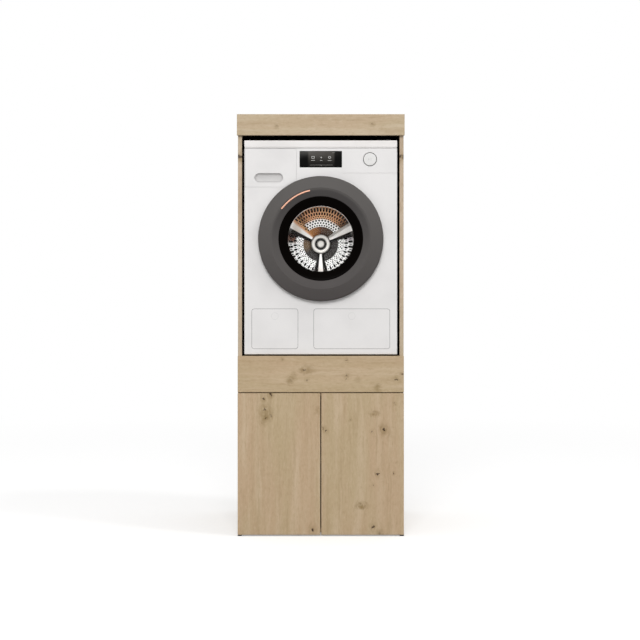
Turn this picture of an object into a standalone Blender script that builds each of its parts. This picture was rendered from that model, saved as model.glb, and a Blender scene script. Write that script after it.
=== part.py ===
"""A tall laundry cabinet in oak-faced board, with a front-loading washing machine in its niche.

Two side panels carry everything. Two push-to-open doors close a cupboard in the foot. A thick platform above
it holds the machine at hand height, and a deep lintel closes the top.

Frame: metres, +Z up. The front faces -Y, and +X is on the right as seen from the front. The origin is on the
floor, under the middle of the whole object.
"""

from math import cos, radians, sin, sqrt, tau

import bmesh
import bpy
from mathutils import Matrix, Vector

for old in list(bpy.data.objects):
    bpy.data.objects.remove(old, do_unlink=True)

# Clearances and finishes that many pieces share
SEAT_GAP = 0.0003
MOVING_GAP = 0.0006
CUT_OVERRUN = 0.010
EDGE_ROUND = 0.0008
MERGE_REACH = 0.000003
SHARP_DEGREES = 35.0
ROUND_STEPS = 48
SMALL_STEPS = 24

# The machine decides how wide and deep the cabinet is
MACHINE_WIDTH = 0.600
MACHINE_DEPTH = 0.590
SIDE_AIR = 0.006
REAR_SPACE = 0.050
TOP_AIR = 0.0208

# Boards
BOARD = 0.016
PLATFORM_BOARD = 0.022
BACK_BOARD = 0.008
LINING = 0.003
LINTEL_HEIGHT = 0.082
LINTEL_OVERHANG = 0.003
BAND_HEIGHT = 0.1415
STRETCHER_HEIGHT = 0.120
RAIL_OVERLAP = 0.012
SHELF_SETBACK = 0.030

# Doors of the cupboard, and what lies round them
FLOOR_GAP = 0.0055
DOOR_HEIGHT = 0.5532
FRONT_GAP = 0.004
DOOR_PRESS = 0.002
GLIDE_HEIGHT = 0.003
GLIDE_INSET = 0.002
GLIDE_END_INSET = 0.012
BASE_LIFT = 0.012
SHELF_HEIGHT = 0.285

# Concealed hinges
CUP_RADIUS = 0.0175
CUP_DEPTH = 0.0115
CUP_WALL = 0.001
CUP_EDGE = 0.005
HINGE_END_DISTANCE = 0.090
ARM_HEIGHT = 0.012
ARM_THICK = 0.011
PLATE_THICK = 0.003
PLATE_HEIGHT = 0.048
PLATE_SETBACK = 0.020
PLATE_LENGTH = 0.045

# Push latches
LATCH_SIDE = 0.014
LATCH_LENGTH = 0.060
LATCH_OFFSET = 0.040
LATCH_NOSE = 0.006
PLUNGER_RADIUS = 0.004
PLUNGER_LENGTH = 0.052

# Wall brackets
BRACKET_LEG = 0.034
BRACKET_STEEL = 0.0025
BRACKET_HEIGHT = 0.060
BRACKET_HOLE_RADIUS = 0.003

# Front of the machine, from its underside up
FOOT_HEIGHT = 0.0057
FLAP_SILL = 0.0224
FLAP_HEIGHT = 0.1564
FLAP_TO_FRAME = 0.0293
FRAME_MARGIN = 0.055
CONTROL_HEIGHT = 0.1126
COVER_HEIGHT = 0.0266
COVER_SEAM = 0.0015

# Shell of the machine
CASING_WALL = 0.004
PANEL_DEPTH = 0.018
COVER_ROUND = 0.004
PANEL_ROUND = 0.002
FOOT_RADIUS = 0.020
FOOT_INSET = 0.090
FOOT_REAR_INSET = 0.060
FOOT_SIDE_INSET = 0.055

# Controls
DISPLAY_WIDTH = 0.166
DISPLAY_HEIGHT = 0.0645
DISPLAY_THICK = 0.003
DISPLAY_PROUD = 0.0005
DISPLAY_FROM_SEAM = 0.0125
BUTTON_RADIUS = 0.0275
BUTTON_THICK = 0.005
BUTTON_PROUD = 0.0008
BUTTON_TRAVEL = 0.0015
BUTTON_FROM_SIDE = 0.107
SEAM_WIDTH = 0.0015
SEAM_RISE = 0.0125

# Detergent drawer
DRAWER_MARGIN = 0.003
DRAWER_TOP_MARGIN = 0.0036
DRAWER_TO_DISPLAY = 0.0128
DRAWER_HEIGHT = 0.150
DRAWER_RING_GAP = 0.004
TRAY_LENGTH = 0.230
TRAY_WALL = 0.003
TRAY_SIDE_INSET = 0.012
TRAY_TOP_INSET = 0.010
TRAY_TUB_AIR = 0.008
GRIP_HEIGHT = 0.036
GRIP_DEPTH = 0.013
GRIP_FROM_LEFT = 0.037
GRIP_FROM_RIGHT = 0.0522
GRIP_FROM_BOTTOM = 0.0185

# Flaps at the machine's foot
FLAP_MARGIN = 0.0294
FILTER_FLAP_WIDTH = 0.181
FLAP_SPACING = 0.062
FLAP_THICK = 0.005
FLAP_CORNER = 0.010
FLAP_LEDGE = 0.006
WELL_WALL = 0.003
WELL_DEPTH = 0.050

# Porthole door, as widths of its rings and distances in front of the machine's front
FRAME_PROUD = 0.036
FRAME_RIM = 0.019
FRAME_RIM_ROUND = 0.0045
FRAME_RIM_LIFT = 0.006
FRAME_CREASE_IN = 0.0475
FRAME_LAND = 0.012
FRAME_SLOPE = 0.008
FRAME_WIDTH = 0.080
TRIM_WIDTH = 0.0365
TRIM_DROP = 0.0155
TRIM_LIP = 0.005
GLASS_WALL = 0.004
GLASS_TAPER = 0.010
GLASS_REACH = 0.075
GLASS_RECESS = 0.010
ACCENT_MARGIN = 0.0016
ACCENT_WIDTH = 0.0055
ACCENT_THICK = 0.0012
ACCENT_START = 102.5
ACCENT_END = 143.4
PIN_IN = 0.009
PIN_FORWARD = 0.014
PIN_RADIUS = 0.0022
PIN_ABOVE = 0.012
HINGE_ARM_HALF = 0.003
HINGE_HALF_HEIGHT = 0.030

# Drum and tub, as distances behind the machine's front
PORT_HOLE_EXTRA = 0.0415
TUB_AIR = 0.014
TUB_WALL = 0.005
TUB_FRONT = 0.060
TUB_MOUTH_EXTRA = 0.005
TUB_REAR_AIR = 0.040
DRUM_AIR = 0.030
DRUM_WALL = 0.003
DRUM_GLASS_AIR = 0.010
DRUM_LENGTH = 0.250
DRUM_MOUTH_EXTRA = 0.0265
HUB_RADIUS = 0.040
HUB_HEIGHT = 0.014
LIFTER_WIDTH = 0.034
LIFTER_RIB_HEIGHT = 0.012
LIFTER_HEIGHT = 0.055
LIFTER_SLOPE = 0.030
LIFTER_ANGLES = (270.0, 150.0, 28.0)
SHAFT_RADIUS = 0.020
STATOR_INNER = 0.032
STATOR_RADIUS = 0.108
STATOR_LENGTH = 0.026
ROTOR_AIR = 0.001
ROTOR_WALL = 0.008
ROTOR_DISC = 0.004
DISC_AIR = 0.004
GASKET_INNER = 0.0115
GASKET_FLANGE = 0.018
GASKET_FOLD = 0.016
GASKET_LIP = 0.004
OUTER_FOLD_SHARES = (0.2, 0.4, 0.6)
INNER_FOLD_SHARES = (0.5, 0.25)
DAMPER_RADIUS = 0.012
DAMPER_OFFSET = 0.160
DAMPER_SETBACK = 0.200

# Widths that follow
NICHE_WIDTH = MACHINE_WIDTH + 2 * (SIDE_AIR + LINING)
HALF_INSIDE = NICHE_WIDTH / 2
HALF_WIDTH = HALF_INSIDE + BOARD
HALF_LINTEL = HALF_WIDTH + LINTEL_OVERHANG
HALF_MACHINE = MACHINE_WIDTH / 2

# Depths that follow: the accent on the porthole frame is what stands furthest forward
CABINET_DEPTH = MACHINE_DEPTH + REAR_SPACE
FURTHEST_FORWARD = FRAME_PROUD + SEAT_GAP + ACCENT_THICK
BACK_Y = (CABINET_DEPTH + FURTHEST_FORWARD) / 2
CARCASS_FRONT = BACK_Y - CABINET_DEPTH
FASCIA_BACK = CARCASS_FRONT - SEAT_GAP
FASCIA_FRONT = FASCIA_BACK - BOARD
DOOR_BACK = CARCASS_FRONT - DOOR_PRESS
DOOR_FRONT = DOOR_BACK - BOARD
MACHINE_FRONT = CARCASS_FRONT
MACHINE_BACK = MACHINE_FRONT + MACHINE_DEPTH

# Heights that follow, from the floor up
DOOR_TOP = FLOOR_GAP + DOOR_HEIGHT
BAND_LOW = DOOR_TOP + FRONT_GAP
PLATFORM_TOP = BAND_LOW + BAND_HEIGHT
PLATFORM_LOW = PLATFORM_TOP - PLATFORM_BOARD
RAIL_LOW = DOOR_TOP - RAIL_OVERLAP
MACHINE_LOW = PLATFORM_TOP + FOOT_HEIGHT
FLAP_LOW = MACHINE_LOW + FLAP_SILL
FLAP_TOP = FLAP_LOW + FLAP_HEIGHT
FRAME_RADIUS = HALF_MACHINE - FRAME_MARGIN
TRIM_RADIUS = FRAME_RADIUS - FRAME_WIDTH
PORT_RADIUS = TRIM_RADIUS - TRIM_WIDTH
PORT_Z = FLAP_TOP + FLAP_TO_FRAME + FRAME_RADIUS
SEAM_Z = PORT_Z + FRAME_RADIUS + CONTROL_HEIGHT
MACHINE_TOP = SEAM_Z + COVER_HEIGHT
NICHE_TOP = MACHINE_TOP + TOP_AIR
TOTAL_HEIGHT = NICHE_TOP + LINTEL_HEIGHT
TOP_PANEL_LOW = TOTAL_HEIGHT - BOARD
SIDES = (("left", -1), ("right", 1))


def srgb(red, green, blue):
    """A display colour from 0 to 255 as the linear colour that a shader takes."""
    return tuple((value / 255) ** 2.2 for value in (red, green, blue))


def finish(name, colour, roughness, metallic=0.0, alpha=1.0):
    """A Principled material."""
    made = bpy.data.materials.new(name)
    made.use_nodes = True
    made.diffuse_color = (*colour, alpha)
    shader = made.node_tree.nodes["Principled BSDF"]
    shader.inputs["Base Color"].default_value = (*colour, 1.0)
    shader.inputs["Roughness"].default_value = roughness
    shader.inputs["Metallic"].default_value = metallic
    shader.inputs["Alpha"].default_value = alpha
    return made


OAK_FRONT = finish("oak front", srgb(182, 160, 131), 0.55)
OAK_SIDE = finish("oak side", srgb(176, 153, 124), 0.55)
CARCASS_BOARD = finish("carcass board", srgb(168, 146, 118), 0.6)
BLACK_LINING = finish("black lining", srgb(14, 13, 12), 0.7)
DARK_PLASTIC = finish("dark plastic", srgb(40, 38, 36), 0.5)
GREY_PLASTIC = finish("grey plastic", srgb(150, 150, 148), 0.45)
BRIGHT_STEEL = finish("bright steel", srgb(196, 196, 194), 0.3, metallic=1.0)
WHITE_ENAMEL = finish("white enamel", srgb(229, 228, 227), 0.35)
WHITE_PLASTIC = finish("white plastic", srgb(226, 225, 224), 0.4)
BLACK_GLASS = finish("black glass", srgb(10, 9, 9), 0.08)
FRAME_GREY = finish("frame grey", srgb(93, 90, 89), 0.4)
CLEAR_GLASS = finish("clear glass", srgb(215, 222, 222), 0.02, alpha=0.3)
COPPER = finish("copper accent", srgb(226, 160, 128), 0.25, metallic=1.0)
RUBBER = finish("grey rubber", srgb(60, 60, 60), 0.8)
TUB_PLASTIC = finish("tub plastic", srgb(120, 120, 118), 0.6)


def as_object(name, mesh, look):
    """Turns a bmesh with outward faces into an object of one material."""
    bmesh.ops.recalc_face_normals(mesh, faces=mesh.faces)
    data = bpy.data.meshes.new(name)
    mesh.to_mesh(data)
    mesh.free()
    data.materials.append(look)
    made = bpy.data.objects.new(name, data)
    bpy.context.scene.collection.objects.link(made)
    return made


def block(name, low, high, look, edge=EDGE_ROUND):
    """A board or block between two corners, with its edges eased by a small bevel."""
    low, high = Vector(low), Vector(high)
    mesh = bmesh.new()
    bmesh.ops.create_cube(mesh, size=1)
    bmesh.ops.scale(mesh, vec=high - low, verts=mesh.verts)
    bmesh.ops.translate(mesh, vec=(low + high) / 2, verts=mesh.verts)
    if edge:
        bmesh.ops.bevel(mesh, geom=mesh.edges[:], offset=edge, segments=1, affect="EDGES")
    return as_object(name, mesh, look)


def rod(name, start, end, radius, look, steps=SMALL_STEPS):
    """A round bar from one point to another."""
    start, end = Vector(start), Vector(end)
    along = end - start
    mesh = bmesh.new()
    bmesh.ops.create_cone(
        mesh, cap_ends=True, segments=steps, radius1=radius, radius2=radius, depth=along.length
    )
    turn = Vector((0, 0, 1)).rotation_difference(along).to_matrix().to_4x4()
    bmesh.ops.transform(mesh, matrix=Matrix.Translation((start + end) / 2) @ turn, verts=mesh.verts)
    return smooth(as_object(name, mesh, look))


def rounded_outline(low, high, depth, radius, steps=SMALL_STEPS):
    """Points of a rectangle with round corners, at a depth in front of or behind the machine's front."""
    quarter = steps // 4
    corners = (
        (high[0] - radius, high[1] - radius),
        (low[0] + radius, high[1] - radius),
        (low[0] + radius, low[1] + radius),
        (high[0] - radius, low[1] + radius),
    )
    points = []
    for turn, (across, height) in enumerate(corners):
        for step in range(quarter + 1):
            angle = tau * (turn * quarter + step) / steps
            points.append((across + radius * cos(angle), depth, height + radius * sin(angle)))
    return points


def prism(name, outline, push, look):
    """The solid that a flat outline leaves when it is pushed along a vector."""
    mesh = bmesh.new()
    face = mesh.faces.new([mesh.verts.new(point) for point in outline])
    pushed = bmesh.ops.extrude_face_region(mesh, geom=[face])
    moved = [item for item in pushed["geom"] if isinstance(item, bmesh.types.BMVert)]
    bmesh.ops.translate(mesh, vec=push, verts=moved)
    return as_object(name, mesh, look)


def turned(name, profile, look, closed=True, angles=(0.0, 360.0), steps=ROUND_STEPS):
    """A solid of revolution about the porthole's axis.

    The profile lists (radius, depth) pairs, with depth measured behind the machine's front. An open profile
    starts and ends on the axis. Angles run counter-clockwise from +X as seen from the front.
    """
    start, end = (radians(angle) for angle in angles)
    mesh = bmesh.new()
    corners = [
        mesh.verts.new((radius * cos(start), depth, radius * sin(start))) for radius, depth in profile
    ]
    pairs = list(zip(corners, corners[1:]))
    if closed:
        pairs.append((corners[-1], corners[0]))
    edges = [mesh.edges.new(pair) for pair in pairs]
    whole = angles == (0.0, 360.0)
    bmesh.ops.spin(
        mesh,
        geom=corners + edges,
        axis=(0, -1, 0),
        angle=end - start,
        steps=steps,
        use_merge=whole,
    )
    bmesh.ops.remove_doubles(mesh, verts=mesh.verts, dist=MERGE_REACH)
    if not whole:
        bmesh.ops.holes_fill(mesh, edges=[edge for edge in mesh.edges if edge.is_boundary], sides=0)
    bmesh.ops.translate(mesh, vec=(0, MACHINE_FRONT, PORT_Z), verts=mesh.verts)
    return smooth(as_object(name, mesh, look))


def smooth(made):
    """Round faces shade smooth, and sharp edges stay sharp."""
    made.data.shade_smooth()
    made.data.set_sharp_from_angle(angle=radians(SHARP_DEGREES))
    return made


def tool(made):
    """Marks an object as a cutter or filler that only shapes another one."""
    made.hide_render = True
    made.display_type = "WIRE"
    made.name = "shape " + made.name
    return made


def combine(target, other, operation):
    """Adds the other object to the target, or takes it away, with a live Boolean."""
    change = target.modifiers.new(operation.lower(), "BOOLEAN")
    change.operation = operation
    change.solver = "EXACT"
    change.object = tool(other)
    return target


def cut(target, *others):
    for other in others:
        combine(target, other, "DIFFERENCE")
    return target


def fuse(target, *others):
    for other in others:
        combine(target, other, "UNION")
    return target


def pivot(name, point, pieces):
    """Hangs pieces on an empty that marks their joint's axis."""
    marker = bpy.data.objects.new(name, None)
    marker.location = point
    bpy.context.scene.collection.objects.link(marker)
    for piece in pieces:
        piece.data.transform(Matrix.Translation(-Vector(point)))
        hang(piece, marker)
    return marker


def hang(piece, marker):
    """Makes a piece and the shapes that cut it follow a marker, without moving them."""
    piece.parent = marker
    for change in piece.modifiers:
        change.object.location = -marker.location
        hang(change.object, marker)


def stadium(width, height, depth, centre, steps=SMALL_STEPS):
    """Points of a slot with round ends, in the plane of the machine's front."""
    radius = height / 2
    reach = width / 2 - radius
    points = []
    for step in range(steps + 2):
        right = step <= steps // 2
        turn = step if right else step - 1
        angle = tau * turn / steps - tau / 4
        shift = reach if right else -reach
        points.append((centre[0] + shift + radius * cos(angle), depth, centre[1] + radius * sin(angle)))
    return points


def make_carcass():
    """Side panels, base, shelf, back, top and lintel, and the strips that the sides stand on."""
    inside = HALF_INSIDE - SEAT_GAP
    for side, sign in SIDES:
        inner, outer = sorted((sign * HALF_INSIDE, sign * HALF_WIDTH))
        block(
            f"side_panel_{side}",
            (inner, CARCASS_FRONT, GLIDE_HEIGHT + SEAT_GAP),
            (outer, BACK_Y, TOP_PANEL_LOW - SEAT_GAP),
            OAK_SIDE,
        )
        block(
            f"glide_{side}",
            (inner + GLIDE_INSET, CARCASS_FRONT + GLIDE_END_INSET, 0),
            (outer - GLIDE_INSET, BACK_Y - GLIDE_END_INSET, GLIDE_HEIGHT),
            DARK_PLASTIC,
            edge=SEAT_GAP,
        )
    base_top = BASE_LIFT + BOARD
    block("base_panel", (-inside, CARCASS_FRONT, BASE_LIFT), (inside, BACK_Y, base_top), CARCASS_BOARD)
    back_front = BACK_Y - BACK_BOARD
    block(
        "back_panel",
        (-inside, back_front, base_top + SEAT_GAP),
        (inside, BACK_Y, PLATFORM_TOP),
        CARCASS_BOARD,
    )
    block(
        "shelf",
        (-inside, CARCASS_FRONT + SHELF_SETBACK, SHELF_HEIGHT),
        (inside, back_front - SEAT_GAP, SHELF_HEIGHT + BOARD),
        CARCASS_BOARD,
    )
    block(
        "top_panel",
        (-HALF_LINTEL, CARCASS_FRONT, TOP_PANEL_LOW),
        (HALF_LINTEL, BACK_Y, TOTAL_HEIGHT),
        OAK_FRONT,
    )
    block(
        "top_fascia",
        (-HALF_LINTEL, FASCIA_FRONT, NICHE_TOP),
        (HALF_LINTEL, FASCIA_BACK, TOTAL_HEIGHT),
        OAK_FRONT,
    )
    block(
        "rear_stretcher",
        (-inside, BACK_Y - BOARD, TOP_PANEL_LOW - STRETCHER_HEIGHT),
        (inside, BACK_Y, TOP_PANEL_LOW - SEAT_GAP),
        CARCASS_BOARD,
    )


def make_platform():
    """The board that the machine stands on, its two rails, and the band that hides them."""
    inside = HALF_INSIDE - SEAT_GAP
    back_front = BACK_Y - BACK_BOARD - SEAT_GAP
    rail_top = PLATFORM_LOW - SEAT_GAP
    block(
        "platform_board",
        (-inside, CARCASS_FRONT, PLATFORM_LOW),
        (inside, back_front, PLATFORM_TOP),
        CARCASS_BOARD,
    )
    block(
        "platform_rail_front",
        (-inside, CARCASS_FRONT, RAIL_LOW),
        (inside, CARCASS_FRONT + BOARD, rail_top),
        CARCASS_BOARD,
    )
    block(
        "platform_rail_rear",
        (-inside, back_front - BOARD, RAIL_LOW),
        (inside, back_front, rail_top),
        CARCASS_BOARD,
    )
    block(
        "middle_fascia",
        (-HALF_WIDTH, FASCIA_FRONT, BAND_LOW),
        (HALF_WIDTH, FASCIA_BACK, PLATFORM_TOP),
        OAK_FRONT,
    )


def make_linings():
    """Black sheets on the sides and under the top of the niche, as deep as the machine."""
    for side, sign in SIDES:
        low, high = sorted((sign * (HALF_INSIDE - SEAT_GAP), sign * (HALF_INSIDE - LINING)))
        block(
            f"niche_lining_{side}",
            (low, CARCASS_FRONT, PLATFORM_TOP + SEAT_GAP),
            (high, MACHINE_BACK, TOP_PANEL_LOW - LINING - 2 * SEAT_GAP),
            BLACK_LINING,
            edge=SEAT_GAP,
        )
    block(
        "niche_lining_top",
        (SEAT_GAP - HALF_INSIDE, CARCASS_FRONT, TOP_PANEL_LOW - LINING - SEAT_GAP),
        (HALF_INSIDE - SEAT_GAP, MACHINE_BACK, TOP_PANEL_LOW - SEAT_GAP),
        BLACK_LINING,
        edge=SEAT_GAP,
    )


def make_wall_brackets():
    """A steel angle on each side panel, whose rear leg faces the wall and takes one screw."""
    low = TOP_PANEL_LOW - STRETCHER_HEIGHT - SEAT_GAP - BRACKET_HEIGHT
    for side, sign in SIDES:
        root = HALF_INSIDE - SEAT_GAP
        legs = (
            (root, BACK_Y),
            (root, BACK_Y - BRACKET_LEG),
            (root - BRACKET_STEEL, BACK_Y - BRACKET_LEG),
            (root - BRACKET_STEEL, BACK_Y - BRACKET_STEEL),
            (root - BRACKET_LEG, BACK_Y - BRACKET_STEEL),
            (root - BRACKET_LEG, BACK_Y),
        )
        outline = [(sign * across, along, low) for across, along in legs]
        bracket = prism(f"wall_bracket_{side}", outline, (0, 0, BRACKET_HEIGHT), BRIGHT_STEEL)
        hole_x = sign * (root - BRACKET_LEG / 2)
        hole_z = low + BRACKET_HEIGHT / 2
        hole = rod(
            f"bracket hole {side}",
            (hole_x, BACK_Y - BRACKET_STEEL - CUT_OVERRUN, hole_z),
            (hole_x, BACK_Y + CUT_OVERRUN, hole_z),
            BRACKET_HOLE_RADIUS,
            BRIGHT_STEEL,
        )
        cut(bracket, hole)


def make_hinge(side, sign, level, height):
    """One concealed hinge: the cup sunk in the door, and the arm on the side panel that reaches into it."""
    centre = sign * (HALF_WIDTH - CUP_EDGE - CUP_RADIUS)
    cup = rod(
        f"hinge_cup_{side}_{level}",
        (centre, DOOR_BACK - CUP_DEPTH, height),
        (centre, DOOR_BACK, height),
        CUP_RADIUS - SEAT_GAP,
        BRIGHT_STEEL,
    )
    hollow = rod(
        f"cup hollow {side} {level}",
        (centre, DOOR_BACK - CUP_DEPTH + CUP_WALL, height),
        (centre, DOOR_BACK + CUT_OVERRUN, height),
        CUP_RADIUS - CUP_WALL,
        BRIGHT_STEEL,
    )
    cut(cup, hollow)
    inner = HALF_INSIDE - SEAT_GAP
    nose_tip = DOOR_BACK - CUP_DEPTH + CUP_WALL + MOVING_GAP
    plate_front = CARCASS_FRONT + PLATE_SETBACK
    plate_back = plate_front + PLATE_LENGTH
    arm_low, arm_high = sorted((sign * inner, sign * (inner - ARM_THICK)))
    arm = block(
        f"hinge_arm_{side}_{level}",
        (arm_low, nose_tip, height - ARM_HEIGHT / 2),
        (arm_high, plate_back, height + ARM_HEIGHT / 2),
        BRIGHT_STEEL,
    )
    plate_low, plate_high = sorted((sign * inner, sign * (inner - PLATE_THICK)))
    plate = block(
        f"hinge plate {side} {level}",
        (plate_low, plate_front, height - PLATE_HEIGHT / 2),
        (plate_high, plate_back, height + PLATE_HEIGHT / 2),
        BRIGHT_STEEL,
    )
    fuse(arm, plate)
    pocket = rod(
        f"door pocket {side} {level}",
        (centre, DOOR_BACK - CUP_DEPTH - SEAT_GAP, height),
        (centre, DOOR_BACK + CUT_OVERRUN, height),
        CUP_RADIUS,
        OAK_FRONT,
    )
    return cup, pocket


def make_doors():
    """Two plain doors on concealed hinges, each turning about its outer edge."""
    levels = (
        ("lower", FLOOR_GAP + HINGE_END_DISTANCE),
        ("upper", DOOR_TOP - HINGE_END_DISTANCE),
    )
    for side, sign in SIDES:
        low, high = sorted((sign * FRONT_GAP / 2, sign * HALF_WIDTH))
        door = block(
            f"door_{side}",
            (low, DOOR_FRONT, FLOOR_GAP),
            (high, DOOR_BACK, DOOR_TOP),
            OAK_FRONT,
        )
        pairs = [make_hinge(side, sign, level, height) for level, height in levels]
        cut(door, *[pocket for _, pocket in pairs])
        cups = [cup for cup, _ in pairs]
        pivot(f"door_{side}_axis", (sign * HALF_WIDTH, DOOR_BACK, 0), [door, *cups])


def make_latches():
    """A push latch for each door, hung under the front rail, with its plunger against the door."""
    top = RAIL_LOW - SEAT_GAP
    height = top - LATCH_SIDE / 2
    for side, sign in SIDES:
        centre = sign * LATCH_OFFSET
        front = CARCASS_FRONT + LATCH_NOSE
        latch = block(
            f"push_latch_{side}",
            (centre - LATCH_SIDE / 2, front, top - LATCH_SIDE),
            (centre + LATCH_SIDE / 2, front + LATCH_LENGTH, top),
            GREY_PLASTIC,
        )
        tip = DOOR_BACK + SEAT_GAP
        rear = tip + PLUNGER_LENGTH
        bore = rod(
            f"latch bore {side}",
            (centre, front - CUT_OVERRUN, height),
            (centre, rear + SEAT_GAP, height),
            PLUNGER_RADIUS + SEAT_GAP,
            GREY_PLASTIC,
        )
        cut(latch, bore)
        plunger = rod(
            f"push_plunger_{side}",
            (centre, tip, height),
            (centre, rear, height),
            PLUNGER_RADIUS,
            DARK_PLASTIC,
        )
        pivot(f"push_plunger_{side}_axis", (centre, tip, height), [plunger])


def machine_y(depth):
    """The place of a depth behind the machine's front."""
    return MACHINE_FRONT + depth


def make_casing():
    """The machine's sheet steel shell, open in front and on top, its cover and its four feet."""
    front = machine_y(PANEL_DEPTH + SEAT_GAP)
    casing = block(
        "washer_casing",
        (-HALF_MACHINE, front, MACHINE_LOW),
        (HALF_MACHINE, MACHINE_BACK, SEAM_Z),
        WHITE_ENAMEL,
    )
    hollow = block(
        "casing hollow",
        (CASING_WALL - HALF_MACHINE, front - CUT_OVERRUN, MACHINE_LOW + CASING_WALL),
        (HALF_MACHINE - CASING_WALL, MACHINE_BACK - CASING_WALL, SEAM_Z + CUT_OVERRUN),
        WHITE_ENAMEL,
        edge=0,
    )
    cut(casing, hollow)
    cover = block(
        "washer_top_cover",
        (-HALF_MACHINE, MACHINE_FRONT, SEAM_Z + SEAT_GAP),
        (HALF_MACHINE, MACHINE_BACK, MACHINE_TOP),
        WHITE_PLASTIC,
        edge=COVER_ROUND,
    )
    fixed = [casing, cover]
    rows = (("front", machine_y(FOOT_INSET)), ("rear", MACHINE_BACK - FOOT_REAR_INSET))
    for end, along in rows:
        for side, sign in SIDES:
            across = sign * (HALF_MACHINE - FOOT_SIDE_INSET)
            fixed.append(
                rod(
                    f"washer_foot_{end}_{side}",
                    (across, along, PLATFORM_TOP + SEAT_GAP),
                    (across, along, MACHINE_LOW - SEAT_GAP),
                    FOOT_RADIUS,
                    RUBBER,
                )
            )
    return fixed


def flap_spans():
    """The two flaps' left and right edges: the narrow filter flap, then the wide dosing flap."""
    left = FLAP_MARGIN - HALF_MACHINE
    filter_right = left + FILTER_FLAP_WIDTH
    return (
        ("filter", left, filter_right),
        ("dosing", filter_right + FLAP_SPACING, -left),
    )


def flap_slab(name, left, right, grow, front, thick):
    """A flap's slab with round corners, or with grow and front the pocket that it sits in."""
    outline = rounded_outline(
        (left - grow, FLAP_LOW - grow),
        (right + grow, FLAP_TOP + grow),
        MACHINE_FRONT - front,
        FLAP_CORNER + grow,
    )
    return prism(name, outline, (0, front + thick, 0), WHITE_ENAMEL)


def make_front_panel():
    """The front plate, with the port, the drawer's opening, the pockets for the controls and two wells."""
    panel = block(
        "washer_front_panel",
        (-HALF_MACHINE, MACHINE_FRONT, MACHINE_LOW),
        (HALF_MACHINE, machine_y(PANEL_DEPTH), SEAM_Z - COVER_SEAM),
        WHITE_ENAMEL,
        edge=PANEL_ROUND,
    )
    plate_middle = machine_y(PANEL_DEPTH / 2)
    for flap, left, right in flap_spans():
        well = block(
            f"{flap} well",
            (left + FLAP_LEDGE - WELL_WALL, plate_middle, FLAP_LOW + FLAP_LEDGE - WELL_WALL),
            (right - FLAP_LEDGE + WELL_WALL, machine_y(WELL_DEPTH), FLAP_TOP - FLAP_LEDGE + WELL_WALL),
            WHITE_ENAMEL,
            edge=0,
        )
        fuse(panel, well)
    for flap, left, right in flap_spans():
        seat = flap_slab(
            f"{flap} flap seat", left, right, MOVING_GAP, CUT_OVERRUN, FLAP_THICK + MOVING_GAP
        )
        hollow = block(
            f"{flap} well hollow",
            (left + FLAP_LEDGE, MACHINE_FRONT - CUT_OVERRUN, FLAP_LOW + FLAP_LEDGE),
            (right - FLAP_LEDGE, machine_y(WELL_DEPTH - WELL_WALL), FLAP_TOP - FLAP_LEDGE),
            WHITE_ENAMEL,
            edge=0,
        )
        cut(panel, seat, hollow)
    port = rod(
        "port",
        (0, MACHINE_FRONT - CUT_OVERRUN, PORT_Z),
        (0, machine_y(PANEL_DEPTH + CUT_OVERRUN), PORT_Z),
        PORT_RADIUS + PORT_HOLE_EXTRA,
        WHITE_ENAMEL,
        steps=ROUND_STEPS,
    )
    cut(panel, port, drawer_outline("drawer opening", MOVING_GAP, CUT_OVERRUN))
    display = display_block("display pocket", SEAT_GAP, CUT_OVERRUN)
    centre = button_centre()
    bore = rod(
        "button bore",
        (centre[0], MACHINE_FRONT - CUT_OVERRUN, centre[1]),
        (centre[0], machine_y(BUTTON_THICK - BUTTON_PROUD + BUTTON_TRAVEL + SEAT_GAP), centre[1]),
        BUTTON_RADIUS + MOVING_GAP,
        WHITE_ENAMEL,
        steps=ROUND_STEPS,
    )
    seam_z = PORT_Z + FRAME_RADIUS + SEAM_RISE
    seam = block(
        "control seam",
        (DISPLAY_WIDTH / 2, MACHINE_FRONT - CUT_OVERRUN, seam_z),
        (HALF_MACHINE + CUT_OVERRUN, machine_y(SEAM_WIDTH), seam_z + SEAM_WIDTH),
        WHITE_ENAMEL,
        edge=0,
    )
    return cut(panel, display, bore, seam)


def display_block(name, grow, reach):
    """The display's glass, or with grow and reach the pocket that it sits in."""
    top = SEAM_Z - DISPLAY_FROM_SEAM + grow
    return block(
        name,
        (-DISPLAY_WIDTH / 2 - grow, MACHINE_FRONT - DISPLAY_PROUD - reach, top - DISPLAY_HEIGHT - 2 * grow),
        (DISPLAY_WIDTH / 2 + grow, machine_y(DISPLAY_THICK - DISPLAY_PROUD + grow), top),
        BLACK_GLASS,
        edge=0,
    )


def button_centre():
    """The start button's place across and up, level with the middle of the display."""
    return (HALF_MACHINE - BUTTON_FROM_SIDE, SEAM_Z - DISPLAY_FROM_SEAM - DISPLAY_HEIGHT / 2)


def drawer_sides():
    """The drawer front's left and right edges, between the machine's side and the display."""
    return DRAWER_MARGIN - HALF_MACHINE, -DISPLAY_WIDTH / 2 - DRAWER_TO_DISPLAY


def drawer_outline(name, grow, reach):
    """The drawer's front block, whose lower corner makes room for the porthole frame."""
    left, right = drawer_sides()
    top = SEAM_Z - DRAWER_TOP_MARGIN
    front = block(
        name,
        (left - grow, MACHINE_FRONT - reach, top - DRAWER_HEIGHT - grow),
        (right + grow, machine_y(PANEL_DEPTH) + reach, top + grow),
        WHITE_PLASTIC,
        edge=0,
    )
    corner = rod(
        f"{name} corner",
        (0, MACHINE_FRONT - 2 * CUT_OVERRUN, PORT_Z),
        (0, machine_y(PANEL_DEPTH) + 2 * CUT_OVERRUN, PORT_Z),
        FRAME_RADIUS + DRAWER_RING_GAP - grow,
        WHITE_PLASTIC,
        steps=2 * ROUND_STEPS,
    )
    return cut(front, corner)


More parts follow.
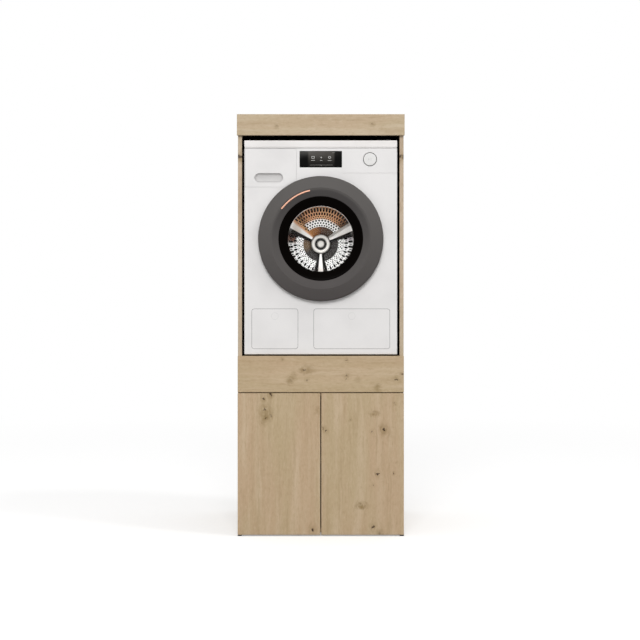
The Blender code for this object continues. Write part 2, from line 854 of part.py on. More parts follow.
def make_drawer():
    """The detergent drawer: a front with a recessed grip, and an open tray that clears the tub."""
    drawer = drawer_outline("washer_drawer", 0, 0)
    front_left, front_right = drawer_sides()
    left = front_left + TRAY_SIDE_INSET
    right = front_right - TRAY_SIDE_INSET
    top = SEAM_Z - DRAWER_TOP_MARGIN - TRAY_TOP_INSET
    low = PORT_Z + tub_height(right) + TRAY_TUB_AIR
    tray_front = machine_y(PANEL_DEPTH / 2)
    tray_back = machine_y(TRAY_LENGTH)
    tray = block("tray", (left, tray_front, low), (right, tray_back, top), GREY_PLASTIC, edge=0)
    hollow = block(
        "tray hollow",
        (left + TRAY_WALL, machine_y(PANEL_DEPTH), low + TRAY_WALL),
        (right - TRAY_WALL, tray_back - TRAY_WALL, top + CUT_OVERRUN),
        GREY_PLASTIC,
        edge=0,
    )
    fuse(drawer, tray)
    cut(drawer, hollow)
    grip_left = front_left + GRIP_FROM_LEFT
    grip_right = front_right - GRIP_FROM_RIGHT
    centre = (
        (grip_left + grip_right) / 2,
        SEAM_Z - DRAWER_TOP_MARGIN - DRAWER_HEIGHT + GRIP_FROM_BOTTOM + GRIP_HEIGHT / 2,
    )
    outline = stadium(grip_right - grip_left, GRIP_HEIGHT, MACHINE_FRONT - CUT_OVERRUN, centre)
    grip = prism("drawer grip", outline, (0, CUT_OVERRUN + GRIP_DEPTH, 0), GREY_PLASTIC)
    cut(drawer, grip)
    pivot("washer_drawer_axis", (left, MACHINE_FRONT, top), [drawer])


def make_controls():
    """The display's glass and the round start button."""
    display = display_block("washer_display", 0, 0)
    centre = button_centre()
    button = rod(
        "washer_start_button",
        (centre[0], MACHINE_FRONT - BUTTON_PROUD, centre[1]),
        (centre[0], machine_y(BUTTON_THICK - BUTTON_PROUD), centre[1]),
        BUTTON_RADIUS,
        WHITE_PLASTIC,
        steps=ROUND_STEPS,
    )
    pivot("washer_start_button_axis", (centre[0], MACHINE_FRONT, centre[1]), [button])
    return display


def make_flaps():
    """Two flaps with round corners, seated in the front panel, which fold down about their lower edges."""
    for flap, left, right in flap_spans():
        piece = smooth(flap_slab(f"washer_{flap}_flap", left, right, 0, 0, FLAP_THICK))
        pivot(f"washer_{flap}_flap_axis", (left, MACHINE_FRONT, FLAP_LOW), [piece])


def make_porthole():
    """The porthole door: grey frame, black trim, glass bowl and accent, and the hinge that carries it."""
    rear = -MOVING_GAP
    crease = FRAME_RADIUS - FRAME_CREASE_IN
    inner = TRIM_RADIUS + SEAT_GAP
    inner_front = SEAT_GAP + FRAME_SLOPE - FRAME_PROUD
    frame = turned(
        "washer_door_frame",
        (
            (inner, rear),
            (FRAME_RADIUS - PIN_IN, rear),
            (FRAME_RADIUS, -FRAME_RIM_LIFT),
            (FRAME_RADIUS, -FRAME_RIM),
            (FRAME_RADIUS - FRAME_RIM_ROUND, -FRAME_RIM - FRAME_RIM_ROUND),
            (crease, -FRAME_PROUD),
            (crease - FRAME_LAND, -FRAME_PROUD),
            (inner, inner_front),
        ),
        FRAME_GREY,
        steps=2 * ROUND_STEPS,
    )
    trim = turned(
        "washer_door_trim",
        (
            (PORT_RADIUS + SEAT_GAP, rear),
            (TRIM_RADIUS, rear),
            (TRIM_RADIUS, inner_front),
            (TRIM_RADIUS - TRIM_LIP, inner_front),
            (PORT_RADIUS + SEAT_GAP, inner_front + TRIM_DROP),
        ),
        BLACK_GLASS,
    )
    bowl_rear = PORT_RADIUS - GLASS_TAPER
    glass = turned(
        "washer_door_glass",
        (
            (0, GLASS_REACH),
            (bowl_rear, GLASS_REACH),
            (PORT_RADIUS, -GLASS_RECESS),
            (PORT_RADIUS - GLASS_WALL, -GLASS_RECESS),
            (bowl_rear - GLASS_WALL, GLASS_REACH - GLASS_WALL),
            (0, GLASS_REACH - GLASS_WALL),
        ),
        CLEAR_GLASS,
        closed=False,
    )
    accent_outer = crease - ACCENT_MARGIN
    accent_back = -FRAME_PROUD - SEAT_GAP
    accent = turned(
        "washer_door_accent",
        (
            (accent_outer, accent_back),
            (accent_outer, accent_back - ACCENT_THICK),
            (accent_outer - ACCENT_WIDTH, accent_back - ACCENT_THICK),
            (accent_outer - ACCENT_WIDTH, accent_back),
        ),
        COPPER,
        angles=(ACCENT_START, ACCENT_END),
        steps=SMALL_STEPS,
    )
    axis_x = FRAME_RADIUS - PIN_IN
    axis_y = machine_y(-PIN_FORWARD)
    hinge = make_door_hinge(axis_x, axis_y)
    reach = HINGE_ARM_HALF + MOVING_GAP
    notch = block(
        "hinge notch",
        (axis_x - reach, axis_y - reach, PORT_Z - HINGE_HALF_HEIGHT - MOVING_GAP),
        (FRAME_RADIUS + CUT_OVERRUN, MACHINE_FRONT + CUT_OVERRUN, PORT_Z + HINGE_HALF_HEIGHT + MOVING_GAP),
        FRAME_GREY,
        edge=0,
    )
    pin_reach = HINGE_HALF_HEIGHT + PIN_ABOVE + SEAT_GAP
    bore = rod(
        "hinge bore",
        (axis_x, axis_y, PORT_Z - pin_reach),
        (axis_x, axis_y, PORT_Z + pin_reach),
        PIN_RADIUS + SEAT_GAP,
        FRAME_GREY,
    )
    cut(frame, notch, bore)
    pivot("washer_door_axis", (axis_x, axis_y, PORT_Z), [frame, trim, glass, accent])
    return hinge


def make_door_hinge(axis_x, axis_y):
    """The arm that stands out of the front panel behind the frame's rim, with the pin through its end."""
    hinge = block(
        "washer_door_hinge",
        (axis_x - HINGE_ARM_HALF, axis_y, PORT_Z - HINGE_HALF_HEIGHT),
        (axis_x + HINGE_ARM_HALF, MACHINE_FRONT - SEAT_GAP, PORT_Z + HINGE_HALF_HEIGHT),
        BRIGHT_STEEL,
        edge=0,
    )
    knuckle = rod(
        "hinge knuckle",
        (axis_x, axis_y, PORT_Z - HINGE_HALF_HEIGHT),
        (axis_x, axis_y, PORT_Z + HINGE_HALF_HEIGHT),
        HINGE_ARM_HALF,
        BRIGHT_STEEL,
    )
    pin_reach = HINGE_HALF_HEIGHT + PIN_ABOVE
    pin = rod(
        "hinge pin",
        (axis_x, axis_y, PORT_Z - pin_reach),
        (axis_x, axis_y, PORT_Z + pin_reach),
        PIN_RADIUS,
        BRIGHT_STEEL,
    )
    return fuse(hinge, knuckle, pin)


def tub_radius():
    """The tub's outer radius, which leaves air to the casing's walls."""
    return HALF_MACHINE - CASING_WALL - TUB_AIR


def tub_height(across):
    """How far above its centre the tub's surface is at a place across, which is zero beyond its side."""
    return sqrt(max(tub_radius() ** 2 - across**2, 0))


def drum_front():
    """How far behind the machine's front the drum starts."""
    return GLASS_REACH + DRUM_GLASS_AIR


def make_gasket():
    """The rubber bellows between the front panel's port and the tub's mouth."""
    port = PORT_RADIUS + PORT_HOLE_EXTRA
    outer = port - SEAT_GAP
    inner = PORT_RADIUS + GASKET_INNER
    behind = PANEL_DEPTH + SEAT_GAP
    end = TUB_FRONT - SEAT_GAP
    flange = port + GASKET_FLANGE
    outer_folds = [behind + share * (end - behind) for share in OUTER_FOLD_SHARES]
    inner_folds = [behind + share * (end - behind) for share in INNER_FOLD_SHARES]
    return turned(
        "washer_gasket",
        (
            (inner, GASKET_LIP),
            (outer, GASKET_LIP),
            (outer, behind),
            (flange, behind),
            (flange, outer_folds[0]),
            (flange - GASKET_FOLD, outer_folds[1]),
            (flange, outer_folds[2]),
            (flange, end),
            (inner + GASKET_FOLD, end),
            (inner + GASKET_FOLD, inner_folds[0]),
            (inner, inner_folds[1]),
        ),
        RUBBER,
    )


def make_tub():
    """The outer tub that holds the water, on two dampers, with the motor's stator on its back."""
    outer = tub_radius()
    mouth = PORT_RADIUS + PORT_HOLE_EXTRA + TUB_MOUTH_EXTRA
    back = drum_front() + DRUM_LENGTH + TUB_REAR_AIR + TUB_WALL
    bearing = SHAFT_RADIUS + SEAT_GAP
    tub = turned(
        "washer_tub",
        (
            (mouth, TUB_FRONT),
            (outer, TUB_FRONT),
            (outer, back),
            (bearing, back),
            (bearing, back - TUB_WALL),
            (outer - TUB_WALL, back - TUB_WALL),
            (outer - TUB_WALL, TUB_FRONT + TUB_WALL),
            (mouth, TUB_FRONT + TUB_WALL),
        ),
        TUB_PLASTIC,
    )
    stator_front = back + SEAT_GAP
    stator = turned(
        "washer_motor_stator",
        (
            (STATOR_INNER, stator_front),
            (STATOR_RADIUS, stator_front),
            (STATOR_RADIUS, stator_front + STATOR_LENGTH),
            (STATOR_INNER, stator_front + STATOR_LENGTH),
        ),
        DARK_PLASTIC,
    )
    fixed = [tub, stator]
    for side, sign in SIDES:
        across = sign * DAMPER_OFFSET
        top = PORT_Z - tub_height(DAMPER_OFFSET - DAMPER_RADIUS) - SEAT_GAP
        fixed.append(
            rod(
                f"washer_damper_{side}",
                (across, machine_y(DAMPER_SETBACK), MACHINE_LOW + CASING_WALL + SEAT_GAP),
                (across, machine_y(DAMPER_SETBACK), top),
                DAMPER_RADIUS,
                DARK_PLASTIC,
            )
        )
    return fixed


def make_drum():
    """The drum with its hub, three lifters, and the shaft with the rotor behind the tub."""
    outer = tub_radius() - TUB_WALL - DRUM_AIR
    inner = outer - DRUM_WALL
    mouth = PORT_RADIUS + DRUM_MOUTH_EXTRA
    front = drum_front()
    back = front + DRUM_LENGTH
    floor = back - DRUM_WALL
    drum = turned(
        "washer_drum",
        (
            (0, floor - HUB_HEIGHT),
            (HUB_RADIUS, floor - HUB_HEIGHT),
            (HUB_RADIUS, floor),
            (inner, floor),
            (inner, front + DRUM_WALL),
            (mouth, front + DRUM_WALL),
            (mouth, front),
            (outer, front),
            (outer, back),
            (0, back),
        ),
        BRIGHT_STEEL,
        closed=False,
    )
    lifters = [
        make_lifter(number, radians(angle), inner, floor)
        for number, angle in enumerate(LIFTER_ANGLES, start=1)
    ]
    tub_back = back + TUB_REAR_AIR + TUB_WALL
    disc = tub_back + SEAT_GAP + STATOR_LENGTH + DISC_AIR
    rotor_inner = STATOR_RADIUS + ROTOR_AIR
    shaft = turned(
        "washer_drum_shaft",
        (
            (0, back + SEAT_GAP),
            (SHAFT_RADIUS, back + SEAT_GAP),
            (SHAFT_RADIUS, disc),
            (rotor_inner, disc),
            (rotor_inner, tub_back + DISC_AIR),
            (rotor_inner + ROTOR_WALL, tub_back + DISC_AIR),
            (rotor_inner + ROTOR_WALL, disc + ROTOR_DISC),
            (0, disc + ROTOR_DISC),
        ),
        DARK_PLASTIC,
        closed=False,
    )
    pivot("washer_drum_axis", (0, MACHINE_FRONT, PORT_Z), [drum, *lifters, shaft])


def make_lifter(number, angle, inner, floor):
    """One lifter: a low rib from the hub along the drum's floor, which turns up along its wall."""
    half = LIFTER_WIDTH / 2
    seat = floor - SEAT_GAP
    rib = seat - LIFTER_RIB_HEIGHT
    wall = sqrt(inner**2 - half**2) * cos(tau / (2 * ROUND_STEPS)) - SEAT_GAP
    start = HUB_RADIUS + SEAT_GAP
    crest = wall - LIFTER_HEIGHT
    front = drum_front() + DRUM_WALL + SEAT_GAP
    outline = (
        (start, seat),
        (wall, seat),
        (wall, front),
        (crest + LIFTER_SLOPE, front),
        (crest, front + LIFTER_SLOPE),
        (crest, rib - LIFTER_SLOPE),
        (crest - LIFTER_SLOPE, rib),
        (start, rib),
    )
    points = [(radius, depth, -half) for radius, depth in outline]
    lifter = prism(f"washer_lifter_{number}", points, (0, 0, LIFTER_WIDTH), BRIGHT_STEEL)
    turn = Matrix.Rotation(-angle, 4, "Y")
    lifter.data.transform(Matrix.Translation((0, MACHINE_FRONT, PORT_Z)) @ turn)
    return lifter


make_carcass()
make_platform()
make_linings()
make_wall_brackets()
make_doors()
make_latches()
machine_fixed = make_casing()
machine_fixed.append(make_front_panel())
machine_fixed.append(make_controls())
machine_fixed.append(make_porthole())
machine_fixed.append(make_gasket())
machine_fixed.extend(make_tub())
make_drawer()
make_flaps()
make_drum()
pivot("washer_axis", (0, MACHINE_FRONT, PLATFORM_TOP), machine_fixed)
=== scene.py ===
# %% [markdown]
# # A laundry cabinet with its washing machine, dressed for the camera
#
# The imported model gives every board, hinge and shell at its real place and size. This lesson gives them
# their looks: knotty oak print, white enamel, a dark glass porthole, a perforated drum. Shapes that a solid
# only hints at are worked out here as surfaces with numpy, and they stand in for the plain solids.

import bmesh
import bpy
import numpy as np
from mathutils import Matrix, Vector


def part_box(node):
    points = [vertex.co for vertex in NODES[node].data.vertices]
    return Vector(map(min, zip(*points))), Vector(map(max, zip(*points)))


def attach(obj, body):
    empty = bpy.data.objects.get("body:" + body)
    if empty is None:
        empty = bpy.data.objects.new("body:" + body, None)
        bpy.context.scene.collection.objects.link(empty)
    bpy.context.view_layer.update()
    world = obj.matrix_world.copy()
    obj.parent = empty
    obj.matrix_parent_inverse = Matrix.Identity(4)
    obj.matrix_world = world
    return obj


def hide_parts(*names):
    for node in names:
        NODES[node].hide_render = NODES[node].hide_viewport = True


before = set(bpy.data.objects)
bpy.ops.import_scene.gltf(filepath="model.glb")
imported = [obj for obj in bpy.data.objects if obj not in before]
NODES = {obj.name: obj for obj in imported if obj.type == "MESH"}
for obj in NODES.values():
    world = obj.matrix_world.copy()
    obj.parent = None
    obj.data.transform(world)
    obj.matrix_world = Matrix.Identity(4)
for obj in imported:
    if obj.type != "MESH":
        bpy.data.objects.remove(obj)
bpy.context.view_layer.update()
SIDES = (("left", -1), ("right", 1))

# %% [markdown]
# ## Measures from the frame
#
# The machine's front, the porthole's centre and radii, and the drum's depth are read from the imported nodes,
# so a piece that is made below always sits on the solid that it dresses. Depths count from the machine's
# front.

# %% Measures that the pieces share
def span(node, axis):
    """The lowest and highest value of a node along an axis: 0 across, 1 in depth, 2 up."""
    low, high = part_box(node)
    return low[axis], high[axis]


def half_width(node):
    """Half a node's width, which is the radius of a round one."""
    low, high = span(node, 0)
    return (high - low) / 2


FRONT = span("washer_front_panel", 1)[0]
RING_X = sum(span("washer_door_frame", 0)) / 2
RING_LOW, RING_HIGH = span("washer_door_frame", 2)
RING_Z = (RING_LOW + RING_HIGH) / 2
RING_RADIUS = (RING_HIGH - RING_LOW) / 2
PROUD = span("washer_door_frame", 1)[0] - FRONT
TRIM_RADIUS = half_width("washer_door_trim")
PORT_RADIUS = half_width("washer_door_glass")
GAP = 0.0006
print("porthole centre", round(RING_X, 4), round(RING_Z, 4), "radius", round(RING_RADIUS, 4))

# %% [markdown]
# ## The camera
#
# The photograph is a catalogue view: the camera looks straight at the front, at 0.85 m above the floor, and
# no edge converges. The niche's 600 mm machine measures 153.4 pixels, which gives 3.91 mm a pixel in the
# plane of the front. How far the drum's floor seems to sit below the porthole's centre gives the distance.

# %% Camera
PIXELS = 640
MM_PER_PIXEL = 3.91
CAMERA_DISTANCE = 4.8
CAMERA_HEIGHT = 0.845
CAMERA_X = -0.003
FRONT_PLANE = span("top_fascia", 1)[0]

lens = bpy.data.cameras.new("camera")
lens.sensor_fit = "HORIZONTAL"
lens.sensor_width = 36.0
lens.lens = lens.sensor_width * CAMERA_DISTANCE / (PIXELS * MM_PER_PIXEL / 1000)
camera = bpy.data.objects.new("camera", lens)
camera.location = (CAMERA_X, FRONT_PLANE - CAMERA_DISTANCE, CAMERA_HEIGHT)
camera.rotation_euler = (np.pi / 2, 0, 0)
bpy.context.scene.collection.objects.link(camera)
bpy.context.scene.camera = camera
print("lens", round(lens.lens, 1), "mm")

# %% [markdown]
# ## Node helpers
#
# A procedural material is a small graph. These helpers keep the graphs readable: each adds one node, fills
# its sockets, and returns its output. A socket value may be a number, or the output of another node.

# %% Helpers for materials
class Graph:
    """A material's node tree, with short calls that add a node and return its first output."""

    def __init__(self, name):
        self.material = bpy.data.materials.new(name)
        self.material.use_nodes = True
        self.tree = self.material.node_tree
        self.tree.nodes.clear()
        self.output = self.tree.nodes.new("ShaderNodeOutputMaterial")
        self.coordinates = self.tree.nodes.new("ShaderNodeTexCoord").outputs["Object"]

    def node(self, kind, inputs=(), **settings):
        """Adds a node, sets its properties, and fills its sockets by name or number."""
        made = self.tree.nodes.new("ShaderNode" + kind)
        for key, value in settings.items():
            setattr(made, key, value)
        for key, value in dict(inputs).items():
            if isinstance(value, bpy.types.NodeSocket):
                self.tree.links.new(value, made.inputs[key])
            else:
                made.inputs[key].default_value = value
        return made

    def math(self, operation, first, second=0.0, third=0.0):
        """One sum of numbers."""
        return self.node("Math", {0: first, 1: second, 2: third}, operation=operation).outputs[0]

    def vector(self, operation, first, second):
        """One sum of vectors."""
        return self.node("VectorMath", {0: first, 1: second}, operation=operation).outputs["Vector"]

    def combine(self, across, along=0.0, up=0.0):
        """A vector from its three numbers."""
        return self.node("CombineXYZ", {0: across, 1: along, 2: up}).outputs[0]

    def axes(self, vector=None):
        """The three numbers of a vector, or of the place in the object."""
        return self.node("SeparateXYZ", {0: vector or self.coordinates}).outputs

    def distance(self, across, along):
        """The length of a flat step."""
        return self.node("VectorMath", {0: self.combine(across, along)}, operation="LENGTH").outputs["Value"]

    def ramp(self, value, low, high, to_low=0.0, to_high=1.0, smooth=True):
        """Maps a number from one range to another, with soft ends."""
        kind = "SMOOTHSTEP" if smooth else "LINEAR"
        sockets = {"Value": value, "From Min": low, "From Max": high, "To Min": to_low, "To Max": to_high}
        return self.node("MapRange", sockets, interpolation_type=kind).outputs[0]

    def noise(self, scale, detail=3.0, roughness=0.5, vector=None):
        """A cloudy number from 0 to 1, at one scale or at a scale for each axis."""
        scales = [float(value) for value in np.broadcast_to(scale, 3)]
        place = self.vector("MULTIPLY", vector or self.coordinates, scales)
        sockets = {"Vector": place, "Scale": 1.0, "Detail": detail, "Roughness": roughness}
        return self.node("TexNoise", sockets).outputs[0]

    def mix(self, share, first, second, blend="MIX"):
        """Blends two colours."""
        sockets = {0: share, 6: first, 7: second}
        return self.node("Mix", sockets, data_type="RGBA", blend_type=blend).outputs[2]

    def colours(self, value, low, high, stops):
        """A colour for a number from low to high, blended between stops of (number, colour)."""
        made = self.node("ValToRGB", {0: self.ramp(value, low, high, smooth=False)})
        elements = made.color_ramp.elements
        for number, (place, colour) in enumerate(stops):
            at = (place - low) / (high - low)
            element = elements.new(at) if 0 < number < len(stops) - 1 else elements[-1 if number else 0]
            element.position = at
            element.color = colour
        return made.outputs[0]

    def gloss(self, cloud, low, high):
        """An uneven roughness that follows a cloud."""
        return self.ramp(cloud, 0.3, 0.7, low, high)

    def bump(self, height, strength, distance):
        """A surface normal from a height."""
        sockets = {"Height": height, "Strength": strength, "Distance": distance}
        return self.node("Bump", sockets).outputs[0]

    def finish(self, shader):
        """Joins a shader to the material's output."""
        self.tree.links.new(shader.outputs[0], self.output.inputs[0])
        return self.material

    def principled(self, **sockets):
        """The finished surface. Words in socket names are joined by an underscore."""
        named = {key.replace("_", " "): value for key, value in sockets.items()}
        return self.finish(self.node("BsdfPrincipled", named))


def tone(red, green, blue):
    """A display colour from 0 to 255, as the linear colour that a shader takes."""
    values = np.array((red, green, blue)) / 255
    linear = np.where(values <= 0.04045, values / 12.92, ((values + 0.055) / 1.055) ** 2.4)
    return (*[float(value) for value in linear], 1.0)


def darker(colour, share):
    """A colour with less light."""
    return (*[value * share for value in colour[:3]], 1.0)


def dress(material, *names):
    """Gives CAD nodes a material of this lesson."""
    for name in names:
        slots = NODES[name].data.materials
        slots.clear()
        slots.append(material)


# %% [markdown]
# ## Oak print
#
# The boards carry a print of pale knotty oak. Seen from near, it is quiet: wide fields that lean to pink or
# to olive, soft light and dark streaks along the grain, very fine fibres, and short pores. The knots give
# it its character. Some are a dark split core, some only an olive stain with faint rings. All of it is a
# function of the place in the board, so the edges continue the pattern of the faces. The distance to a knot
# is measured in a warped space, which makes it ragged, and near it the across coordinate is squeezed, so
# that the fibres bow round it as they do in a tree.

# %% Oak colours and layers
OAK_LIGHT = tone(201, 180, 151)
OAK_PINK = tone(189, 163, 132)
OAK_OLIVE = tone(185, 164, 130)
OAK_DARK = tone(162, 137, 102)
KNOT_STAIN = tone(128, 104, 58)
KNOT_CORE = tone(52, 32, 14)
KNOT_NARROW = 0.75
RAGGED_SCALE = 85.0
RAGGED_STEP = (0.024, 0.024, 0.024)
GRAIN_WOBBLE = 0.012
PLAIN = (1.0, 1.0, 1.0)

# Each noise's scale across the grain, through the board and along the grain, its detail and its roughness.
OAK_FIELDS = {
    "hue": ((9.0, 5.0, 1.6), 3.0, 0.5),
    "broad": ((26.0, 9.0, 2.2), 3.0, 0.55),
    "streaks": ((85.0, 30.0, 4.0), 4.0, 0.6),
    "mottle": ((150.0, 90.0, 60.0), 3.0, 0.6),
    "fibres": ((520.0, 240.0, 24.0), 3.0, 0.65),
    "pores": ((900.0, 420.0, 75.0), 2.0, 0.5),
    "patches": ((170.0, 60.0, 45.0), 4.0, 0.5),
}

# Which noise lays a colour over the pink ground, between which two values, and how much of it at each.
OAK_LAYERS = (
    ("hue", 0.36, 0.64, 0.0, 1.0, OAK_OLIVE),
    ("broad", 0.42, 0.72, 0.0, 0.75, OAK_LIGHT),
    ("streaks", 0.50, 0.80, 0.0, 0.60, OAK_DARK),
    ("mottle", 0.50, 0.78, 0.0, 0.40, OAK_DARK),
    ("mottle", 0.28, 0.48, 0.35, 0.0, OAK_LIGHT),
    ("fibres", 0.50, 0.80, 0.0, 0.55, OAK_DARK),
    ("pores", 0.60, 0.78, 0.0, 0.50, OAK_DARK),
)


# %% Oak material
def knot_layers(graph, board, torn, knots, upright):
    """The across coordinate bent round the knots, and how much stain and dark core each place has.

    The distance is the length of (steps across, steps along times a share). A knot may bring its own share.
    """
    bent, stain, core = board[0], 0.0, 0.0
    for across, along, size, core_share, stain_share, *narrow in knots:
        narrow = narrow[0] if narrow else KNOT_NARROW
        spot = (across, along) if upright else (along, across)
        steps = [[graph.math("SUBTRACT", *pair) for pair in zip(place, spot)] for place in (board, torn)]
        near, torn_near = [graph.distance(step[0], graph.math("MULTIPLY", step[1], narrow)) for step in steps]
        push = graph.ramp(near, 0.0, size * 6.0, 0.8 * max(core_share, stain_share), 0.0)
        bent = graph.math("SUBTRACT", bent, graph.math("MULTIPLY", push, steps[0][0]))
        halo = graph.ramp(torn_near, size * 0.4, size * 4.8, stain_share, 0.0)
        heart = graph.ramp(torn_near, size * 0.45, size * 1.15, core_share, 0.0)
        stain = graph.math("MAXIMUM", stain, halo)
        core = graph.math("MAXIMUM", core, heart)
    return bent, stain, core


def oak(name, knots=(), upright=True, cross_axis=0, shift=0.0, tint=PLAIN):
    """Knotty oak print.

    upright says that the grain runs up, and otherwise it runs across. cross_axis is the axis that the
    board's face spans beside the grain. A knot is (across, up, size, core, stain), with its place and size in
    metres, and a sixth number says how much steps along the grain count.
    """
    graph = Graph(name)
    place = graph.axes()
    coarse = graph.node("TexNoise", {"Vector": graph.coordinates, "Scale": RAGGED_SCALE, "Detail": 3.0})
    offset = graph.vector("SUBTRACT", coarse.outputs["Color"], (0.5, 0.5, 0.5))
    ragged = graph.axes(graph.vector("ADD", graph.coordinates, graph.vector("MULTIPLY", offset, RAGGED_STEP)))
    order = (cross_axis, 2) if upright else (2, cross_axis)
    board, torn = [[source[axis] for axis in order] for source in (place, ragged)]
    bent, stain, core = knot_layers(graph, board, torn, knots, upright)
    drift = graph.math("MULTIPLY_ADD", graph.noise(9.0, detail=2.0), GRAIN_WOBBLE, bent)
    grain = graph.combine(drift, place[1 - cross_axis], board[1])
    grain = graph.vector("ADD", grain, (shift, shift, shift))
    fields = {key: graph.noise(*numbers, vector=grain) for key, numbers in OAK_FIELDS.items()}
    body = OAK_PINK
    for key, low, high, share_low, share_high, colour in OAK_LAYERS:
        body = graph.mix(graph.ramp(fields[key], low, high, share_low, share_high), body, colour)
    if knots:
        patchy = graph.ramp(fields["patches"], 0.34, 0.60, 0.25, 1.0)
        stained = graph.math("MULTIPLY", graph.math("MULTIPLY", stain, 0.80), patchy)
        body = graph.mix(stained, body, KNOT_STAIN)
        body = graph.mix(core, body, KNOT_CORE)
    if tint != PLAIN:
        body = graph.mix(1.0, body, (*tint, 1.0), blend="MULTIPLY")
    height = graph.math("MULTIPLY_ADD", fields["fibres"], 0.5, graph.math("MULTIPLY", fields["pores"], -0.5))
    return graph.principled(
        Base_Color=body,
        Roughness=graph.gloss(fields["fibres"], 0.52, 0.62),
        Specular_IOR_Level=0.3,
        Normal=graph.bump(height, 0.25, 0.0004),
    )


# %% Knots of each board
DOOR_LEFT_KNOTS = (
    (-0.2245, 0.5390, 0.0046, 0.9, 0.6),
    (-0.1960, 0.5545, 0.0046, 0.9, 0.7),
    (-0.2200, 0.4960, 0.0046, 0.8, 1.0),
    (-0.2150, 0.4830, 0.0086, 0.0, 0.8),
    (-0.2170, 0.4640, 0.0040, 0.8, 1.0),
    (-0.1950, 0.4720, 0.0030, 0.6, 0.6),
    (-0.2230, 0.4490, 0.0048, 0.0, 0.6),
    (-0.0315, 0.0240, 0.0054, 1.0, 0.5),
    (-0.0150, 0.4900, 0.0040, 0.0, 0.5),
)
DOOR_RIGHT_KNOTS = (
    (0.0187, 0.4120, 0.0040, 0.9, 0.5),
    (0.0100, 0.4215, 0.0024, 0.6, 0.3),
    (0.2120, 0.4780, 0.0070, 0.0, 0.9, 1.9),
    (0.2048, 0.4840, 0.0020, 0.5, 0.5),
    (0.2010, 0.4085, 0.0028, 0.8, 0.3),
    (0.2450, 0.4180, 0.0058, 1.0, 0.8),
    (0.2600, 0.4060, 0.0060, 0.0, 0.4),
    (0.1150, 0.4550, 0.0022, 0.5, 0.3),
    (0.2900, 0.5190, 0.0026, 0.4, 0.4),
    (0.2215, 0.2435, 0.0046, 1.0, 0.4),
    (0.2105, 0.2460, 0.0022, 0.7, 0.3),
    (0.2850, 0.2460, 0.0028, 0.9, 0.3),
    (0.2055, 0.1990, 0.0024, 0.6, 0.4),
    (0.1595, 0.1200, 0.0078, 0.0, 1.0, 1.7),
    (0.1530, 0.1240, 0.0022, 0.4, 0.5),
    (0.2045, 0.0370, 0.0048, 1.0, 0.6),
    (0.2300, 0.0110, 0.0048, 0.3, 0.8),
    (0.2950, 0.2860, 0.0022, 0.3, 0.3),
)
BAND_KNOTS = (
    (-0.0640, 0.6500, 0.0050, 0.7, 0.9),
    (-0.0480, 0.6530, 0.0060, 0.0, 0.6),
    (-0.1160, 0.6090, 0.0058, 0.2, 0.9, 1.0),
    (-0.1060, 0.6260, 0.0060, 0.0, 0.6, 1.8),
    (-0.0540, 0.6105, 0.0026, 0.6, 0.5),
    (0.1020, 0.6285, 0.0036, 1.0, 0.5),
    (0.1000, 0.6150, 0.0022, 0.7, 0.4),
    (0.1440, 0.6130, 0.0036, 0.0, 0.35),
    (0.2960, 0.6125, 0.0042, 1.0, 0.5),
    (0.3200, 0.6330, 0.0040, 0.9, 0.5),
    (0.0990, 0.6870, 0.0030, 0.5, 0.5),
    (-0.1510, 0.6930, 0.0024, 0.4, 0.4),
    (0.2220, 0.5800, 0.0060, 0.0, 0.7, 1.2),
)
LINTEL_KNOTS = ((0.2000, 1.6100, 0.0034, 0.5, 0.6), (-0.1750, 1.6020, 0.0030, 0.3, 0.5))
SIDE_KNOTS = (
    (-0.250, 1.4680, 0.0056, 0.9, 0.8),
    (0.060, 1.1200, 0.0056, 0.8, 0.9),
    (0.075, 1.0950, 0.0080, 0.0, 0.7),
    (-0.080, 0.7400, 0.0052, 1.0, 0.6),
    (0.210, 0.4300, 0.0060, 0.9, 0.9),
    (-0.180, 0.2000, 0.0044, 0.7, 0.7),
    (0.120, 1.5300, 0.0040, 0.6, 0.6),
    (-0.300, 1.4850, 0.0056, 0.9, 0.9),
)
LINTEL_TINT = (1.0, 1.05, 1.10)
SIDE_TINT = (1.02, 1.09, 1.24)

dress(oak("oak door left", DOOR_LEFT_KNOTS), "door_left")
dress(oak("oak door right", DOOR_RIGHT_KNOTS, shift=3.1), "door_right")
dress(oak("oak band", BAND_KNOTS, upright=False, shift=5.7), "middle_fascia")
dress(oak("oak lintel", LINTEL_KNOTS, upright=False, shift=8.2, tint=LINTEL_TINT), "top_fascia", "top_panel")
oak_side = oak("oak side", SIDE_KNOTS, cross_axis=1, shift=1.4, tint=SIDE_TINT)
dress(oak_side, "side_panel_left", "side_panel_right")
print("oak boards dressed")

# %% [markdown]
# ## Board, steel and plastics out of sight
#
# Inside the cupboard the boards are plain oak melamine: the same print without knots, a shade darker.
# Hinges and brackets are nickel-plated steel with a faint brushed grain. Plastics get a moulded surface,
# which is a fine pebble in the bump and a little change in the gloss.

# %% Plain finishes
def moulded(name, colour, roughness=0.45, pebble=900.0, depth=0.00005, specular=0.4):
    """A moulded or painted surface: faint tone clouds, a fine pebble and an uneven gloss."""
    graph = Graph(name)
    cloud = graph.noise(7.0)
    return graph.principled(
        Base_Color=graph.mix(graph.ramp(cloud, 0.35, 0.75), colour, darker(colour, 0.93)),
        Roughness=graph.gloss(cloud, roughness - 0.04, roughness + 0.06),
        Specular_IOR_Level=specular,
        Normal=graph.bump(graph.noise(pebble, detail=1.0), 0.3, depth),
    )


